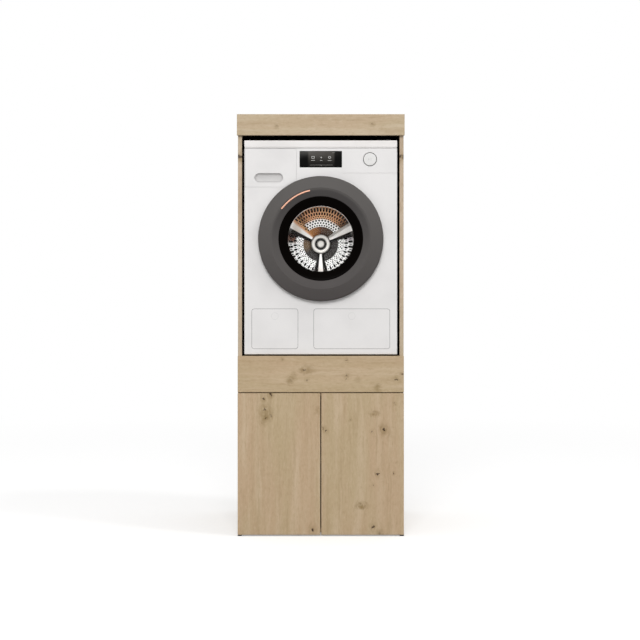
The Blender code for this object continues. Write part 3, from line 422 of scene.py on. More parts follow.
def brushed(name, colour, roughness=0.3, direction=(40.0, 40.0, 1200.0)):
    """Plated or stainless steel with fine lines in one direction."""
    graph = Graph(name)
    lines = graph.noise(direction)
    return graph.principled(
        Base_Color=graph.mix(graph.ramp(lines, 0.3, 0.7), colour, darker(colour, 0.86)),
        Metallic=1.0,
        Roughness=graph.gloss(graph.noise(18.0, detail=2.0), roughness - 0.05, roughness + 0.08),
        Normal=graph.bump(lines, 0.15, 0.00004),
    )


INNER_OAK = oak("oak melamine", shift=12.0, tint=(0.92, 0.92, 0.92))
# Painted shade: the niche's lining is near black, so that the gaps round the machine read as deep shade.
NICHE_SHADE_BLACK = moulded("black lining", tone(9, 7, 6), roughness=0.75, specular=0.0)
DARK_PLASTIC = moulded("dark plastic", tone(38, 36, 34), roughness=0.5)
GREY_PLASTIC = moulded("grey plastic", tone(168, 168, 166), roughness=0.45)
NICKEL = brushed("nickel plate", tone(200, 200, 197), roughness=0.28)
RUBBER = moulded("door seal rubber", tone(70, 70, 71), roughness=0.6, pebble=500.0)
TUB_PLASTIC = moulded("tub plastic", tone(14, 12, 11), roughness=0.7, specular=0.1)

dress(INNER_OAK, "base_panel", "back_panel", "shelf", "rear_stretcher", "platform_board")
dress(INNER_OAK, "platform_rail_front", "platform_rail_rear")
# The niche's lining carries the painted shade of the niche.
dress(NICHE_SHADE_BLACK, "niche_lining_top")
dress(DARK_PLASTIC, "washer_motor_stator", "washer_drum_shaft")
dress(NICKEL, "washer_door_hinge")
dress(TUB_PLASTIC, "washer_tub")
for side, _ in SIDES:
    dress(NICHE_SHADE_BLACK, f"niche_lining_{side}")
    dress(DARK_PLASTIC, f"glide_{side}", f"push_plunger_{side}", f"washer_damper_{side}")
    dress(GREY_PLASTIC, f"push_latch_{side}")
    dress(NICKEL, f"wall_bracket_{side}")
    dress(RUBBER, f"washer_foot_front_{side}", f"washer_foot_rear_{side}")
    for level in ("lower", "upper"):
        dress(NICKEL, f"hinge_cup_{side}_{level}", f"hinge_arm_{side}_{level}")
print("plain finishes dressed")

# %% [markdown]
# ## White enamel
#
# The machine's sheet steel is sprayed white and baked, and the flaps share its enamel. Enamel isn't flat: it
# has a very shallow orange peel, which only shows where a lamp grazes it. The drawer is moulded in the same
# white, slightly more matt.

# %% White finishes
WHITE = tone(232, 230, 229)
WHITE_GRAIN = {"depth": 0.00003, "specular": 0.25}
ENAMEL = moulded("white enamel", WHITE, roughness=0.32, pebble=260.0, **WHITE_GRAIN)
WHITE_PLASTIC = moulded("white plastic", WHITE, roughness=0.42, pebble=700.0, **WHITE_GRAIN)
dress(ENAMEL, "washer_casing", "washer_front_panel", "washer_filter_flap", "washer_dosing_flap")
dress(WHITE_PLASTIC, "washer_drawer")
print("white finishes dressed")

# %% [markdown]
# ## Surfaces from numpy
#
# Most new pieces are one of two shapes. A turned piece is a profile carried round an axis: every point is a
# function of the place on the profile and the angle. A slab is an outline carried through a few levels,
# where each level has its own inset and depth, which rounds the edges. Sharp corners of a profile are eased
# first: each corner becomes a short parabola whose ends lie a set distance along its two sides.

# %% Helper that makes a piece
WELD = 0.00002


def keep_rims_sharp(mesh):
    """Marks edges with one face as sharp, so that a wall made from a sheet keeps crisp rims."""
    edges = np.zeros(len(mesh.loops), np.int32)
    mesh.loops.foreach_get("edge_index", edges)
    sharp = np.zeros(len(mesh.edges), bool)
    mesh.edges.foreach_get("use_edge_sharp", sharp)
    mesh.edges.foreach_set("use_edge_sharp", sharp | (np.bincount(edges, minlength=len(sharp)) == 1))


def piece(name, points, faces, material, body, stands_for=(), slot=None, sharp=40.0):
    """Makes an object from vertices and faces, welds and orients it, and lets it ride on a body."""
    mesh = bpy.data.meshes.new(name)
    mesh.from_pydata(np.asarray(points, float).reshape(-1, 3).tolist(), [], faces)
    shell = bmesh.new()
    shell.from_mesh(mesh)
    bmesh.ops.remove_doubles(shell, verts=shell.verts, dist=WELD)
    bmesh.ops.recalc_face_normals(shell, faces=shell.faces)
    shell.to_mesh(mesh)
    shell.free()
    mesh.shade_smooth()
    mesh.set_sharp_from_angle(angle=np.radians(sharp))
    keep_rims_sharp(mesh)
    mesh.materials.append(material)
    made = bpy.data.objects.new(name, mesh)
    bpy.context.scene.collection.objects.link(made)
    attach(made, body)
    if stands_for:
        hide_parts(*stands_for)
    print(name, len(mesh.polygons), "faces")
    return made


def add_wall(made, thickness, offset):
    """Gives a sheet its thickness."""
    wall = made.modifiers.new("wall", "SOLIDIFY")
    wall.thickness = thickness
    wall.offset = offset


def mesh_points(mesh):
    """A mesh's vertices as an array."""
    points = np.zeros(len(mesh.vertices) * 3)
    mesh.vertices.foreach_get("co", points)
    return points.reshape(-1, 3)


# %% Helpers for grids and profiles
def grid_faces(rows, columns, wrap_rows=False, wrap_columns=False, start=0):
    """The quads between the points of a grid, as lists of four vertex numbers."""
    row = np.arange(rows if wrap_rows else rows - 1)
    column = np.arange(columns if wrap_columns else columns - 1)
    row, column = np.meshgrid(row, column, indexing="ij")
    next_row, next_column = (row + 1) % rows, (column + 1) % columns
    corners = (row * columns + column, row * columns + next_column)
    corners += (next_row * columns + next_column, next_row * columns + column)
    return (np.stack(corners, axis=-1).reshape(-1, 4) + start).tolist()


def tube_faces(rows, count, open_start=False):
    """The faces of rings of points, closed by one face at each end, or at the far end alone."""
    ends = [list(range((rows - 1) * count, rows * count))]
    if not open_start:
        ends.insert(0, list(range(count)))
    return grid_faces(rows, count, wrap_columns=True) + ends


def eased(corners, distances, steps=5):
    """Rounds the corners of a closed profile.

    A corner C with its cut points A and B becomes the parabola (1-t)^2 A + 2t(1-t) C + t^2 B. A and B lie a
    set distance along the two sides, and at most 45 hundredths of a side.
    """
    corners = np.asarray(corners, float)
    distances = np.broadcast_to(distances, len(corners)).astype(float)
    before = np.roll(corners, 1, axis=0) - corners
    after = np.roll(corners, -1, axis=0) - corners
    before_length = np.linalg.norm(before, axis=1, keepdims=True)
    after_length = np.linalg.norm(after, axis=1, keepdims=True)
    reach = np.minimum(distances[:, None], 0.45 * np.minimum(before_length, after_length))
    start = corners + before / before_length * reach
    end = corners + after / after_length * reach
    t = np.linspace(0, 1, steps)[None, :, None]
    arcs = (1 - t) ** 2 * start[:, None] + 2 * t * (1 - t) * corners[:, None] + t**2 * end[:, None]
    points = arcs.reshape(-1, corners.shape[1])
    apart = np.linalg.norm(points - np.roll(points, 1, axis=0), axis=1) > WELD
    return points[apart]


def polar(angle, radius, depth, centre=None):
    """Places round an axis into the machine: (across + radius cos, front + depth, up + radius sin)."""
    across, up = centre or (RING_X, RING_Z)
    angle, radius, depth = np.broadcast_arrays(angle, radius, depth)
    return np.stack((across + radius * np.cos(angle), FRONT + depth, up + radius * np.sin(angle)), axis=-1)


def turned(name, profile, material, body, steps=96, centre=None, **facts):
    """A closed profile of (radius, depth) turned all the way round."""
    angles = np.linspace(0, 2 * np.pi, steps, endpoint=False)[:, None]
    points = polar(angles, *np.asarray(profile, float).T, centre)
    faces = grid_faces(*points.shape[:2], wrap_rows=True, wrap_columns=True)
    return piece(name, points, faces, material, body, **facts)


# %% Helpers for slabs and thin marks
def round_rectangle(low, high, corner, steps=7):
    """The outline of a rectangle with round corners, which are four quarter circles."""
    turn = np.arange(4)[:, None] * np.pi / 2 + np.linspace(0, np.pi / 2, steps)
    across = np.array([high[0] - corner, low[0] + corner, low[0] + corner, high[0] - corner])
    up = np.array([high[1] - corner, high[1] - corner, low[1] + corner, low[1] + corner])
    points = (across[:, None] + corner * np.cos(turn), up[:, None] + corner * np.sin(turn))
    return np.stack(points, axis=-1).reshape(-1, 2)


def at_depth(outline, depth):
    """An outline of (across, up), laid in a plane behind the machine's front."""
    return np.column_stack((outline[:, 0], np.full(len(outline), FRONT + depth), outline[:, 1]))


def slab_rings(low, high, corner, insets, depths, steps=7, open_start=False):
    """Round rectangles stacked in depth, each smaller all round by its own inset, with their faces."""
    rings = []
    for inset, depth in zip(insets, depths):
        radius = max(corner - inset, corner * 0.05)
        outline = round_rectangle(np.add(low, inset), np.subtract(high, inset), radius, steps)
        rings.append(at_depth(outline, depth))
    return np.array(rings), tube_faces(len(rings), len(rings[0]), open_start)


def joined(name, parts, material, body, **facts):
    """Several shells as one piece."""
    points, faces = [], []
    count = 0
    for part, outline in parts:
        points.append(part.reshape(-1, 3))
        faces += [[corner + count for corner in face] for face in outline]
        count += len(points[-1])
    return piece(name, np.concatenate(points), faces, material, body, **facts)


def band(low, high, corner, width, depth, lift, steps=7):
    """Points and faces of a thin flat frame, such as a printed line, between an outline and its inset."""
    outer = round_rectangle(low, high, corner, steps)
    inner = round_rectangle(np.add(low, width), np.subtract(high, width), max(corner - width, width), steps)
    loops = ((outer, depth), (outer, depth - lift), (inner, depth - lift), (inner, depth))
    rings = np.array([at_depth(*loop) for loop in loops])
    return rings, grid_faces(4, len(outer), wrap_rows=True, wrap_columns=True)


# %% [markdown]
# ## The porthole's frame
#
# The wide grey ring is a moulding: a sloping outer zone, a soft crease, a narrow land, and a slope down to
# the black trim. It could be a lathed mesh, but one place isn't round: behind its right rim a notch makes
# room for the hinge's arm. So the profile is turned here with a rule: within the notch's angles, whatever
# of the profile lies outside the notch's radius is pushed forward to the notch's floor.

# %% Porthole frame
RIM_CHAMFER = 0.009
RIM_LIFT = 0.006
RIM_FACE = 0.019
CREASE_RADIUS = RING_RADIUS - 0.0475
CREASE_WIDTH = 0.0014
CREASE_DEPTH = 0.0012
LAND_WIDTH = 0.012
LAND_DEPTH = 0.0032
SLOPE_END = PROUD + 0.0102
NOTCH_HALF_HEIGHT = 0.0306
NOTCH_SIDE = 0.0004


def frame_finish():
    """Matt grey with painted light: lighter towards the top and the sides, a painted shade on the inner top,
    and a fine pebble.
    """
    graph = Graph("frame grey")
    place = graph.axes()
    cloud = graph.noise(6.0)
    across = graph.math("SUBTRACT", place[0], RING_X)
    # Painted light: the grey is lighter towards the top and the sides, and a painted shade darkens the inner
    # top inside the crease.
    height = graph.math("MULTIPLY_ADD", cloud, 0.10, place[2])
    height = graph.math("MULTIPLY_ADD", graph.math("ABSOLUTE", across), 0.45, height)
    radius = graph.distance(across, graph.math("SUBTRACT", place[2], RING_Z))
    inner = graph.ramp(radius, CREASE_RADIUS - LAND_WIDTH, CREASE_RADIUS, 1.0, 0.0)
    inner_top_shade = graph.math("MULTIPLY", inner, graph.ramp(height, RING_Z, RING_Z + 0.26))
    colour = graph.mix(graph.ramp(height, RING_LOW, RING_HIGH + 0.1), tone(77, 73, 72), tone(90, 87, 85))
    return graph.principled(
        Base_Color=graph.mix(inner_top_shade, colour, tone(70, 67, 66)),
        Roughness=graph.gloss(cloud, 0.54, 0.64),
        Specular_IOR_Level=0.15,
        Normal=graph.bump(graph.noise(600.0, detail=1.0), 0.3, 0.00005),
    )


def porthole_frame():
    """The grey ring, with the notch for the hinge's arm behind its right rim."""
    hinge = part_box("washer_door_hinge")
    notch_radius = hinge[0][0] - GAP - RING_X
    notch_depth = hinge[0][1] - GAP - FRONT
    inner = TRIM_RADIUS + GAP / 2
    corners = (
        (inner, -GAP),
        (notch_radius - GAP / 3, -GAP),
        (notch_radius, -GAP),
        (RING_RADIUS - RIM_CHAMFER, -GAP),
        (RING_RADIUS, -RIM_LIFT),
        (RING_RADIUS, -RIM_FACE),
        (RING_RADIUS - RIM_FACE / 4, -RIM_FACE * 1.24),
        (CREASE_RADIUS, PROUD),
        (CREASE_RADIUS - CREASE_WIDTH, PROUD + CREASE_DEPTH),
        (CREASE_RADIUS - LAND_WIDTH, PROUD + LAND_DEPTH),
        (inner, SLOPE_END),
    )
    easing = (0.0008, 0, 0, 0.003, 0.003, 0.002, 0.004, 0.0018, 0.0007, 0.006, 0.0012)
    profile = eased(corners, easing)
    edge = np.arcsin(NOTCH_HALF_HEIGHT / RING_RADIUS)
    even = np.linspace(-np.pi, np.pi, 180, endpoint=False)
    angles = np.sort(np.concatenate((even, (-edge - NOTCH_SIDE, -edge, edge, edge + NOTCH_SIDE))))
    points = polar(angles[:, None], *profile.T)
    inside = (np.abs(angles) <= edge)[:, None] & (profile[:, 0] >= notch_radius - WELD)[None, :]
    floor = np.minimum(points[..., 1], FRONT + notch_depth)
    points[..., 1] = np.where(inside, floor, points[..., 1])
    faces = grid_faces(*points.shape[:2], wrap_rows=True, wrap_columns=True)
    facts = {"stands_for": ("washer_door_frame",), "slot": "frame_grey"}
    piece("porthole_frame", points, faces, frame_finish(), "washer_door", **facts)


porthole_frame()

# %% [markdown]
# ## Trim, glass and accent
#
# The black trim is a glossy funnel that leads down to the glass. The glass is a thick bowl that reaches
# into the drum's mouth. It is see-through with a thin mirror on top: a mix of a transparent and a glossy
# shader, by Fresnel up to a limit, renders cleanly and keeps the drum behind it bright. A fine ring at its
# ground edge carries a painted highlight above and painted shade below. The accent is a copper-coloured
# strip inlaid on the ring's land, with round ends.

# %% Trim
TRIM_DROP = 0.0133
TRIM_LIP = 0.005
TRIM_BLACK = moulded("trim black", tone(5, 3, 2), roughness=0.30, pebble=400.0, depth=0.00001, specular=0.015)


def porthole_trim():
    """The black funnel between the grey frame and the glass."""
    front = SLOPE_END + GAP / 2
    hole = PORT_RADIUS + GAP / 2
    corners = ((hole, -GAP), (TRIM_RADIUS, -GAP), (TRIM_RADIUS, front))
    corners += ((TRIM_RADIUS - TRIM_LIP, front), (hole, front + TRIM_DROP))
    profile = eased(corners, (0.001, 0.001, 0.0006, 0.004, 0.0006))
    turned("porthole_trim", profile, TRIM_BLACK, "washer_door", steps=144, stands_for=("washer_door_trim",))


porthole_trim()

# %% Glass and its edge
GLASS_WALL = 0.004
GLASS_TAPER = 0.003
GLASS_RECESS = 0.010
GLASS_REACH = span("washer_door_glass", 1)[1] - FRONT
EDGE_WIDTH = 0.0010
EDGE_DEPTHS = (-GLASS_RECESS - 0.0009, -GLASS_RECESS - 0.0002)


def clear_glass():
    """A pane that lets the drum show and mirrors a little of the room."""
    graph = Graph("porthole glass")
    pane = graph.node("BsdfTransparent", {"Color": (0.97, 0.975, 0.975, 1.0)}).outputs[0]
    mirror = graph.node("BsdfGlossy", {"Color": (1.0, 1.0, 1.0, 1.0), "Roughness": 0.03}).outputs[0]
    share = graph.math("MINIMUM", graph.node("Fresnel", {"IOR": 1.15}).outputs[0], 0.07)
    return graph.finish(graph.node("MixShader", {0: share, 1: pane, 2: mirror}))


def edge_painted_light():
    """The glass's ground edge, with light painted on it: a painted highlight above, where it catches the
    room, and painted shade below.
    """
    graph = Graph("glass edge painted light")
    height = graph.math("MULTIPLY_ADD", graph.noise(25.0, detail=2.0), 0.03, graph.axes()[2])
    # Painted highlight above and painted shade below, in the ring's colour.
    lit = graph.ramp(height, RING_Z + 0.03, RING_Z + 0.11)
    return graph.principled(
        Base_Color=graph.mix(lit, tone(58, 50, 46), tone(250, 244, 238)),
        Roughness=graph.ramp(height, 1.0, 1.3, 0.4, 0.5),
        Specular_IOR_Level=0.3,
    )


def porthole_glass():
    """The bowl, with a flat rear pane, a round corner and a wall that widens forward, and its edge ring."""
    rear = PORT_RADIUS - GLASS_TAPER
    corners = (
        (0, GLASS_REACH),
        (rear, GLASS_REACH),
        (PORT_RADIUS, -GLASS_RECESS),
        (PORT_RADIUS - GLASS_WALL, -GLASS_RECESS),
        (rear - GLASS_WALL, GLASS_REACH - GLASS_WALL),
        (0, GLASS_REACH - GLASS_WALL),
    )
    profile = eased(corners, (0, 0.016, 0.001, 0.001, 0.013, 0), steps=9)
    turned("porthole_bowl", profile, clear_glass(), "washer_door", stands_for=("washer_door_glass",))
    outer = PORT_RADIUS - GAP
    inner = outer - EDGE_WIDTH
    front, back = EDGE_DEPTHS
    ring = eased(((inner, front), (outer, front), (outer, back), (inner, back)), 0.0005, 4)
    turned("glass_edge_highlight_ring", ring, edge_painted_light(), "washer_door", steps=144)


porthole_glass()

# %% Accent
ACCENT_START = np.radians(102.5)
ACCENT_END = np.radians(143.4)
ACCENT_WIDTH = 0.0055
ACCENT_EDGE = 0.0005
COPPER = brushed("copper accent", tone(200, 152, 130), roughness=0.34)


def accent_strip():
    """The copper strip: a round-ended bar in arc length and radius, bent round the ring's land."""
    low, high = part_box("washer_door_accent")
    front, back = low[1] - FRONT, high[1] - FRONT
    middle = float(np.hypot(low[0] - RING_X, low[2] - RING_Z)) - ACCENT_WIDTH / 2
    straight = (ACCENT_END - ACCENT_START) / 2 * middle - ACCENT_WIDTH / 2
    side = np.linspace(-1, 1, 25) * straight
    cap = np.linspace(-np.pi / 2, np.pi / 2, 9)[1:-1]
    rings = []
    for inset, depth in ((0, back), (0, front + ACCENT_EDGE), (ACCENT_EDGE, front)):
        wide = ACCENT_WIDTH / 2 - inset
        end = straight + wide * np.cos(cap)
        along = np.concatenate((side, end, -side, -end))
        flat = np.full(len(side), wide)
        out = np.concatenate((-flat, wide * np.sin(cap), flat, -wide * np.sin(cap)))
        rings.append(polar((ACCENT_START + ACCENT_END) / 2 - along / middle, middle + out, depth))
    facts = {"stands_for": ("washer_door_accent",), "slot": "copper"}
    piece("accent_strip", np.array(rings), tube_faces(3, len(rings[0])), COPPER, "washer_door", **facts)


accent_strip()

# %% [markdown]
# ## Door seal
#
# Behind the porthole, a rubber bellows joins the front panel to the tub. It is turned from a folded
# profile: a broad lip for the glass to press on, a groove that collects water, and two folds behind it. The
# lip's and the folds' radii count from the opening, and the bellows' from the flange.

# %% Door seal
SEAL_INNER = PORT_RADIUS + 0.0115
SEAL_OUTER = PORT_RADIUS + 0.0412
SEAL_STEP = 0.0185
SEAL_LIP = ((0.0, 0.008), (0.005, 0.004), (0.011, 0.005), (0.014, 0.013), (0.019, 0.013), (0.022, 0.004))
SEAL_BELLOWS = ((0.0, 0.028), (-0.014, 0.034), (0.0, 0.042))
SEAL_FOLDS = ((0.018, 0.044), (0.004, 0.036), (0.014, 0.028), (0.0, 0.020))


def door_seal():
    """The seal, as one closed profile of lip, collar, outer bellows, rear face and inner folds."""
    rear = span("washer_gasket", 1)[1] - FRONT
    flange = half_width("washer_gasket")
    corners = [(SEAL_INNER + radius, depth) for radius, depth in SEAL_LIP]
    corners += [(SEAL_OUTER, SEAL_LIP[-1][1]), (SEAL_OUTER, SEAL_STEP), (flange, SEAL_STEP)]
    corners += [(flange + radius, depth) for radius, depth in SEAL_BELLOWS]
    corners += [(flange, rear), (SEAL_INNER + 0.016, rear)]
    corners += [(SEAL_INNER + radius, depth) for radius, depth in SEAL_FOLDS]
    facts = {"stands_for": ("washer_gasket",), "slot": "rubber"}
    turned("door_seal", eased(corners, 0.003), RUBBER, "washer", **facts)


door_seal()

# %% [markdown]
# ## The drum's steel
#
# The drum is bright stainless steel. Its lower sectors mirror the white room. The upper sector mirrors
# something warm, so a painted copper-coloured reflection lies on its outer rows. The ring round the hub is
# the drum's smooth star-shaped back, with a painted dark and warm reflection, and beside each lifter lies a
# painted dark reflection of its flank. A mirror image would slide with the camera, so these reflections are
# painted by place instead. Three zones lie inside each other, and each has a list of (angle, tint) that is
# blended between neighbours. Angles count from the top, and to the right they are positive.

# %% Drum tints
# Painted reflections: apart from the plain steel and the hub, these tints stand for what the polished steel
# mirrors.
DRUM_STEEL = tone(241, 240, 238)
HUB_PALE = tone(195, 191, 186)
WARM_REFLECTION_BRIGHT = tone(224, 166, 124)
WARM_REFLECTION_DIM = tone(140, 98, 68)
GOLDEN_REFLECTION = tone(188, 142, 96)
FLANK_REFLECTION_DARK = tone(20, 16, 14)
BACK_REFLECTION_DARK = tone(42, 38, 36)

BACK_TINTS = (
    (-180, BACK_REFLECTION_DARK),
    (-125, BACK_REFLECTION_DARK),
    (-100, tone(92, 74, 54)),
    (-82, tone(88, 70, 52)),
    (-68, FLANK_REFLECTION_DARK),
    (-52, GOLDEN_REFLECTION),
    (-40, tone(152, 102, 58)),
    (-14, tone(126, 82, 48)),
    (2, tone(80, 54, 40)),
    (30, tone(68, 52, 42)),
    (58, tone(62, 50, 40)),
    (70, FLANK_REFLECTION_DARK),
    (84, BACK_REFLECTION_DARK),
    (180, BACK_REFLECTION_DARK),
)
LOW_START = ((-180, FLANK_REFLECTION_DARK), (-166, FLANK_REFLECTION_DARK), (-165, DRUM_STEEL))
LOW_END = ((165, DRUM_STEEL), (166, FLANK_REFLECTION_DARK), (180, FLANK_REFLECTION_DARK))
ROW_TINTS = (
    *LOW_START,
    (-71.5, DRUM_STEEL),
    (-70.5, FLANK_REFLECTION_DARK),
    (-58, FLANK_REFLECTION_DARK),
    (-50, GOLDEN_REFLECTION),
    (-44, GOLDEN_REFLECTION),
    (-40, WARM_REFLECTION_DIM),
    (-38.5, DRUM_STEEL),
    (51.5, DRUM_STEEL),
    (53, tone(86, 70, 54)),
    (62, tone(70, 58, 46)),
    (66, FLANK_REFLECTION_DARK),
    (76.5, FLANK_REFLECTION_DARK),
    (77.5, DRUM_STEEL),
    *LOW_END,
)
OUTER_TINTS = (
    *LOW_START,
    (-90, DRUM_STEEL),
    (-84, tone(128, 92, 76)),
    (-73, tone(70, 44, 36)),
    (-70.5, FLANK_REFLECTION_DARK),
    (-58, FLANK_REFLECTION_DARK),
    (-50, tone(226, 196, 164)),
    (-44, tone(214, 160, 112)),
    (-38, WARM_REFLECTION_DIM),
    (-26, WARM_REFLECTION_BRIGHT),
    (8, tone(224, 172, 130)),
    (30, WARM_REFLECTION_BRIGHT),
    (44, WARM_REFLECTION_DIM),
    (53, tone(92, 70, 50)),
    (62, tone(80, 60, 44)),
    (66, FLANK_REFLECTION_DARK),
    (76.5, FLANK_REFLECTION_DARK),
    (77.5, tone(188, 180, 184)),
    (90, DRUM_STEEL),
    *LOW_END,
)

# %% Drum steel
HUB_EDGE = 0.040
ANNULUS_EDGE = 0.0735
DOTS_EDGE = 0.1045
GROOVE_INNER = (0.0146, 0.0158)
GROOVE_OUTER = (0.0232, 0.0246)


def drum_steel():
    """Steel with painted reflections, whose colour follows the distance from the drum's axis and the angle
    from the top, and a painted shade in the hub's groove.
    """
    graph = Graph("drum steel painted reflections")
    place = graph.axes()
    across = graph.math("SUBTRACT", place[0], RING_X)
    up = graph.math("SUBTRACT", place[2], RING_Z)
    plain = graph.distance(across, up)
    cloud = graph.noise(14.0)
    smudge = graph.noise(40.0, detail=4.0)
    radius = graph.math("MULTIPLY_ADD", cloud, 0.006, graph.math("SUBTRACT", plain, 0.003))
    turn = graph.math("DEGREES", graph.math("ARCTAN2", across, up))
    turn = graph.math("MULTIPLY_ADD", graph.math("SUBTRACT", smudge, 0.5), 2.0, turn)
    stops = (BACK_TINTS, ROW_TINTS, OUTER_TINTS)
    back, rows, outer = [graph.colours(turn, -180.0, 180.0, tints) for tints in stops]
    # Painted reflection: the outer rows turn darker brown towards the wall.
    outer = graph.mix(graph.ramp(radius, 0.137, 0.155, 0.0, 0.35), outer, tone(70, 48, 34))
    colour = graph.mix(graph.ramp(radius, DOTS_EDGE - 0.004, DOTS_EDGE + 0.004), rows, outer)
    colour = graph.mix(graph.ramp(plain, 0.165, 0.185), colour, DRUM_STEEL)
    near_hub = graph.ramp(plain, ANNULUS_EDGE - 0.0006, ANNULUS_EDGE + 0.0006, 1.0, 0.0)
    colour = graph.mix(near_hub, colour, back)
    stained = graph.mix(1.0, colour, tone(190, 184, 178), "MULTIPLY")
    colour = graph.mix(graph.ramp(smudge, 0.45, 0.75, 0.0, 0.25), colour, stained)
    on_hub = graph.ramp(plain, HUB_EDGE - 0.001, HUB_EDGE + 0.001, 1.0, 0.0)
    colour = graph.mix(on_hub, colour, HUB_PALE)
    # Painted shade: the hub's groove is coloured near black.
    beyond, within = graph.ramp(plain, *GROOVE_INNER), graph.ramp(plain, *GROOVE_OUTER, 1.0, 0.0)
    groove = graph.math("MULTIPLY", beyond, within)
    return graph.principled(
        Base_Color=graph.mix(groove, colour, tone(26, 23, 21)),
        Metallic=0.5,
        Roughness=graph.gloss(cloud, 0.30, 0.42),
        Specular_IOR_Level=0.3,
        Normal=graph.bump(graph.noise(300.0, detail=2.0), 0.1, 0.00004),
    )


# %% [markdown]
# ## The drum
#
# A drum is a deep-drawn steel pot with thousands of punched holes. Painted dots would look flat through the
# glass, so the holes are real. The pot's inner skin is one surface: a radius and a depth for each place
# along the profile, at each angle. Where the skin is smooth, the profile is simply turned. Where it is
# perforated, it is cut into cells, and each cell is a band of quads between the cell's edge and its hole.
# Every ring of points has 288 points, so that smooth and perforated zones meet without a gap. Solidify then
# gives the sheet its thickness.

# %% Helpers for perforated steel
RING_POINTS = 288
DRUM_WALL = 0.003
DRUM_MOUTH = 0.155
DRUM_FRONT, DRUM_FLOOR = [depth - FRONT for depth in span("washer_drum", 1)]
DRUM_FLOOR -= DRUM_WALL
DRUM_RADIUS = half_width("washer_drum") - DRUM_WALL
SLOT_ROWS = (0.1205, 0.1345, 0.1555, 0.1765, 0.1975)
TOP_ROWS = (ANNULUS_EDGE, DOTS_EDGE, *SLOT_ROWS)
LOW_ROWS = (ANNULUS_EDGE, 0.0925, 0.0990, 0.1150, 0.1360, 0.1570, SLOT_ROWS[-1])
TOP_MIDDLE = np.radians(89.0)
TOP_HALF = np.radians(61.0)
TOP_SOFTNESS = 0.16
SMALL_HOLE, LARGE_HOLE, LONGEST = -0.38, 0.42, 1.06


def cell_outline(arc_parts, side_parts):
    """The even points round a unit cell: along its near arc, up a side, back along the far arc, and down."""
    arc = np.arange(arc_parts) / arc_parts
    side = np.arange(side_parts) / side_parts
    along = np.concatenate((arc, np.ones(side_parts), 1 - arc, np.zeros(side_parts)))
    out = np.concatenate((np.zeros(arc_parts), side, np.ones(arc_parts), 1 - side))
    return along, out


def low_share(angle):
    """Goes from 0 in the top sector to 1 in the lower two, with a soft step behind the lifter at an end."""
    inside = np.cos(angle - TOP_MIDDLE) - np.cos(TOP_HALF)
    share = np.clip(0.5 - inside / TOP_SOFTNESS, 0, 1)
    return share * share * (3 - 2 * share)


def signed_power(values, power):
    """Each value's size to a power, with its sign kept."""
    return np.sign(values) * np.abs(values) ** power


def perforated(edges, cells, parts, hole, squareness, surface, start):
    """Rows of cells, each with a hole.

    edges are the rows' limits along the profile, and every second row is turned by half a cell. Within a
    cell at (u, v), the edge points are surface(angle of u, distance of v). The hole's points lie round the
    cell's middle at (a |cos t|^p, b |sin t|^p) with their signs kept. Here t is the direction of the edge
    point, a is the hole's half width as a share of the cell, and b is its half length, which may differ by
    row. A power p below one makes the hole square-ended. In the lower sectors large and small holes take
    turns, and the hole's third number says how much.
    """
    along, out = cell_outline(*parts)
    rows, count = len(edges) - 1, len(along)
    row = np.arange(rows)[:, None, None]
    cell = np.arange(cells)[None, :, None]
    low, high = [np.asarray(part)[:, None, None] for part in (edges[:-1], edges[1:])]
    turn = 2 * np.pi / cells
    shift = 0.5 * (row % 2)
    way = np.arctan2(out - 0.5, along - 0.5)
    half_wide = hole[0] * signed_power(np.cos(way), squareness)
    half_long = np.reshape(hole[1], (-1, 1, 1)) * signed_power(np.sin(way), squareness)
    centre = (cell + 0.5 + shift) * turn
    size = 1 + hole[2] * low_share(centre) * np.where(cell % 2, SMALL_HOLE, LARGE_HOLE)
    hole_angle = centre + half_wide * turn * size
    hole_distance = (low + high) / 2 + half_long * np.minimum(size, LONGEST)
    outer = polar(*surface((cell + along + shift) * turn, low + (high - low) * out))
    inner = polar(*surface(hole_angle, hole_distance))
    points = np.concatenate((outer, inner), axis=2).reshape(-1, 3)
    first = np.arange(count)
    second = (first + 1) % count
    quad = np.stack((first, second, second + count, first + count), axis=-1)
    block = np.arange(rows * cells)[:, None, None] * 2 * count
    return points, (quad[None] + block + start).reshape(-1, 4).tolist()


def floor_surface(angle, distance):
    """The flat floor, where the distance is the radius in the top sector, and the lower rows sit closer in.

    radius = (1 - w) distance + w f(distance). f leads from TOP_ROWS to LOW_ROWS, and w is low_share(angle).
    """
    share = low_share(angle)
    return angle, (1 - share) * distance + share * np.interp(distance, TOP_ROWS, LOW_ROWS), DRUM_FLOOR


def wall_surface(angle, distance):
    """The round wall: the distance is the depth."""
    return angle, DRUM_RADIUS, distance


def smooth_zone(profile, start):
    """A part of the profile turned round with no holes."""
    angles = np.arange(RING_POINTS) * 2 * np.pi / RING_POINTS
    points = polar(angles, *np.asarray(profile, float).T[:, :, None])
    return points.reshape(-1, 3), grid_faces(len(profile), RING_POINTS, wrap_columns=True, start=start)


# %% Drum
HUB_TOP = DRUM_FLOOR - 0.014
CORNER = 0.012
PLATE_DEPTH = 0.003
WALL_END = DRUM_FRONT + CORNER + 0.006

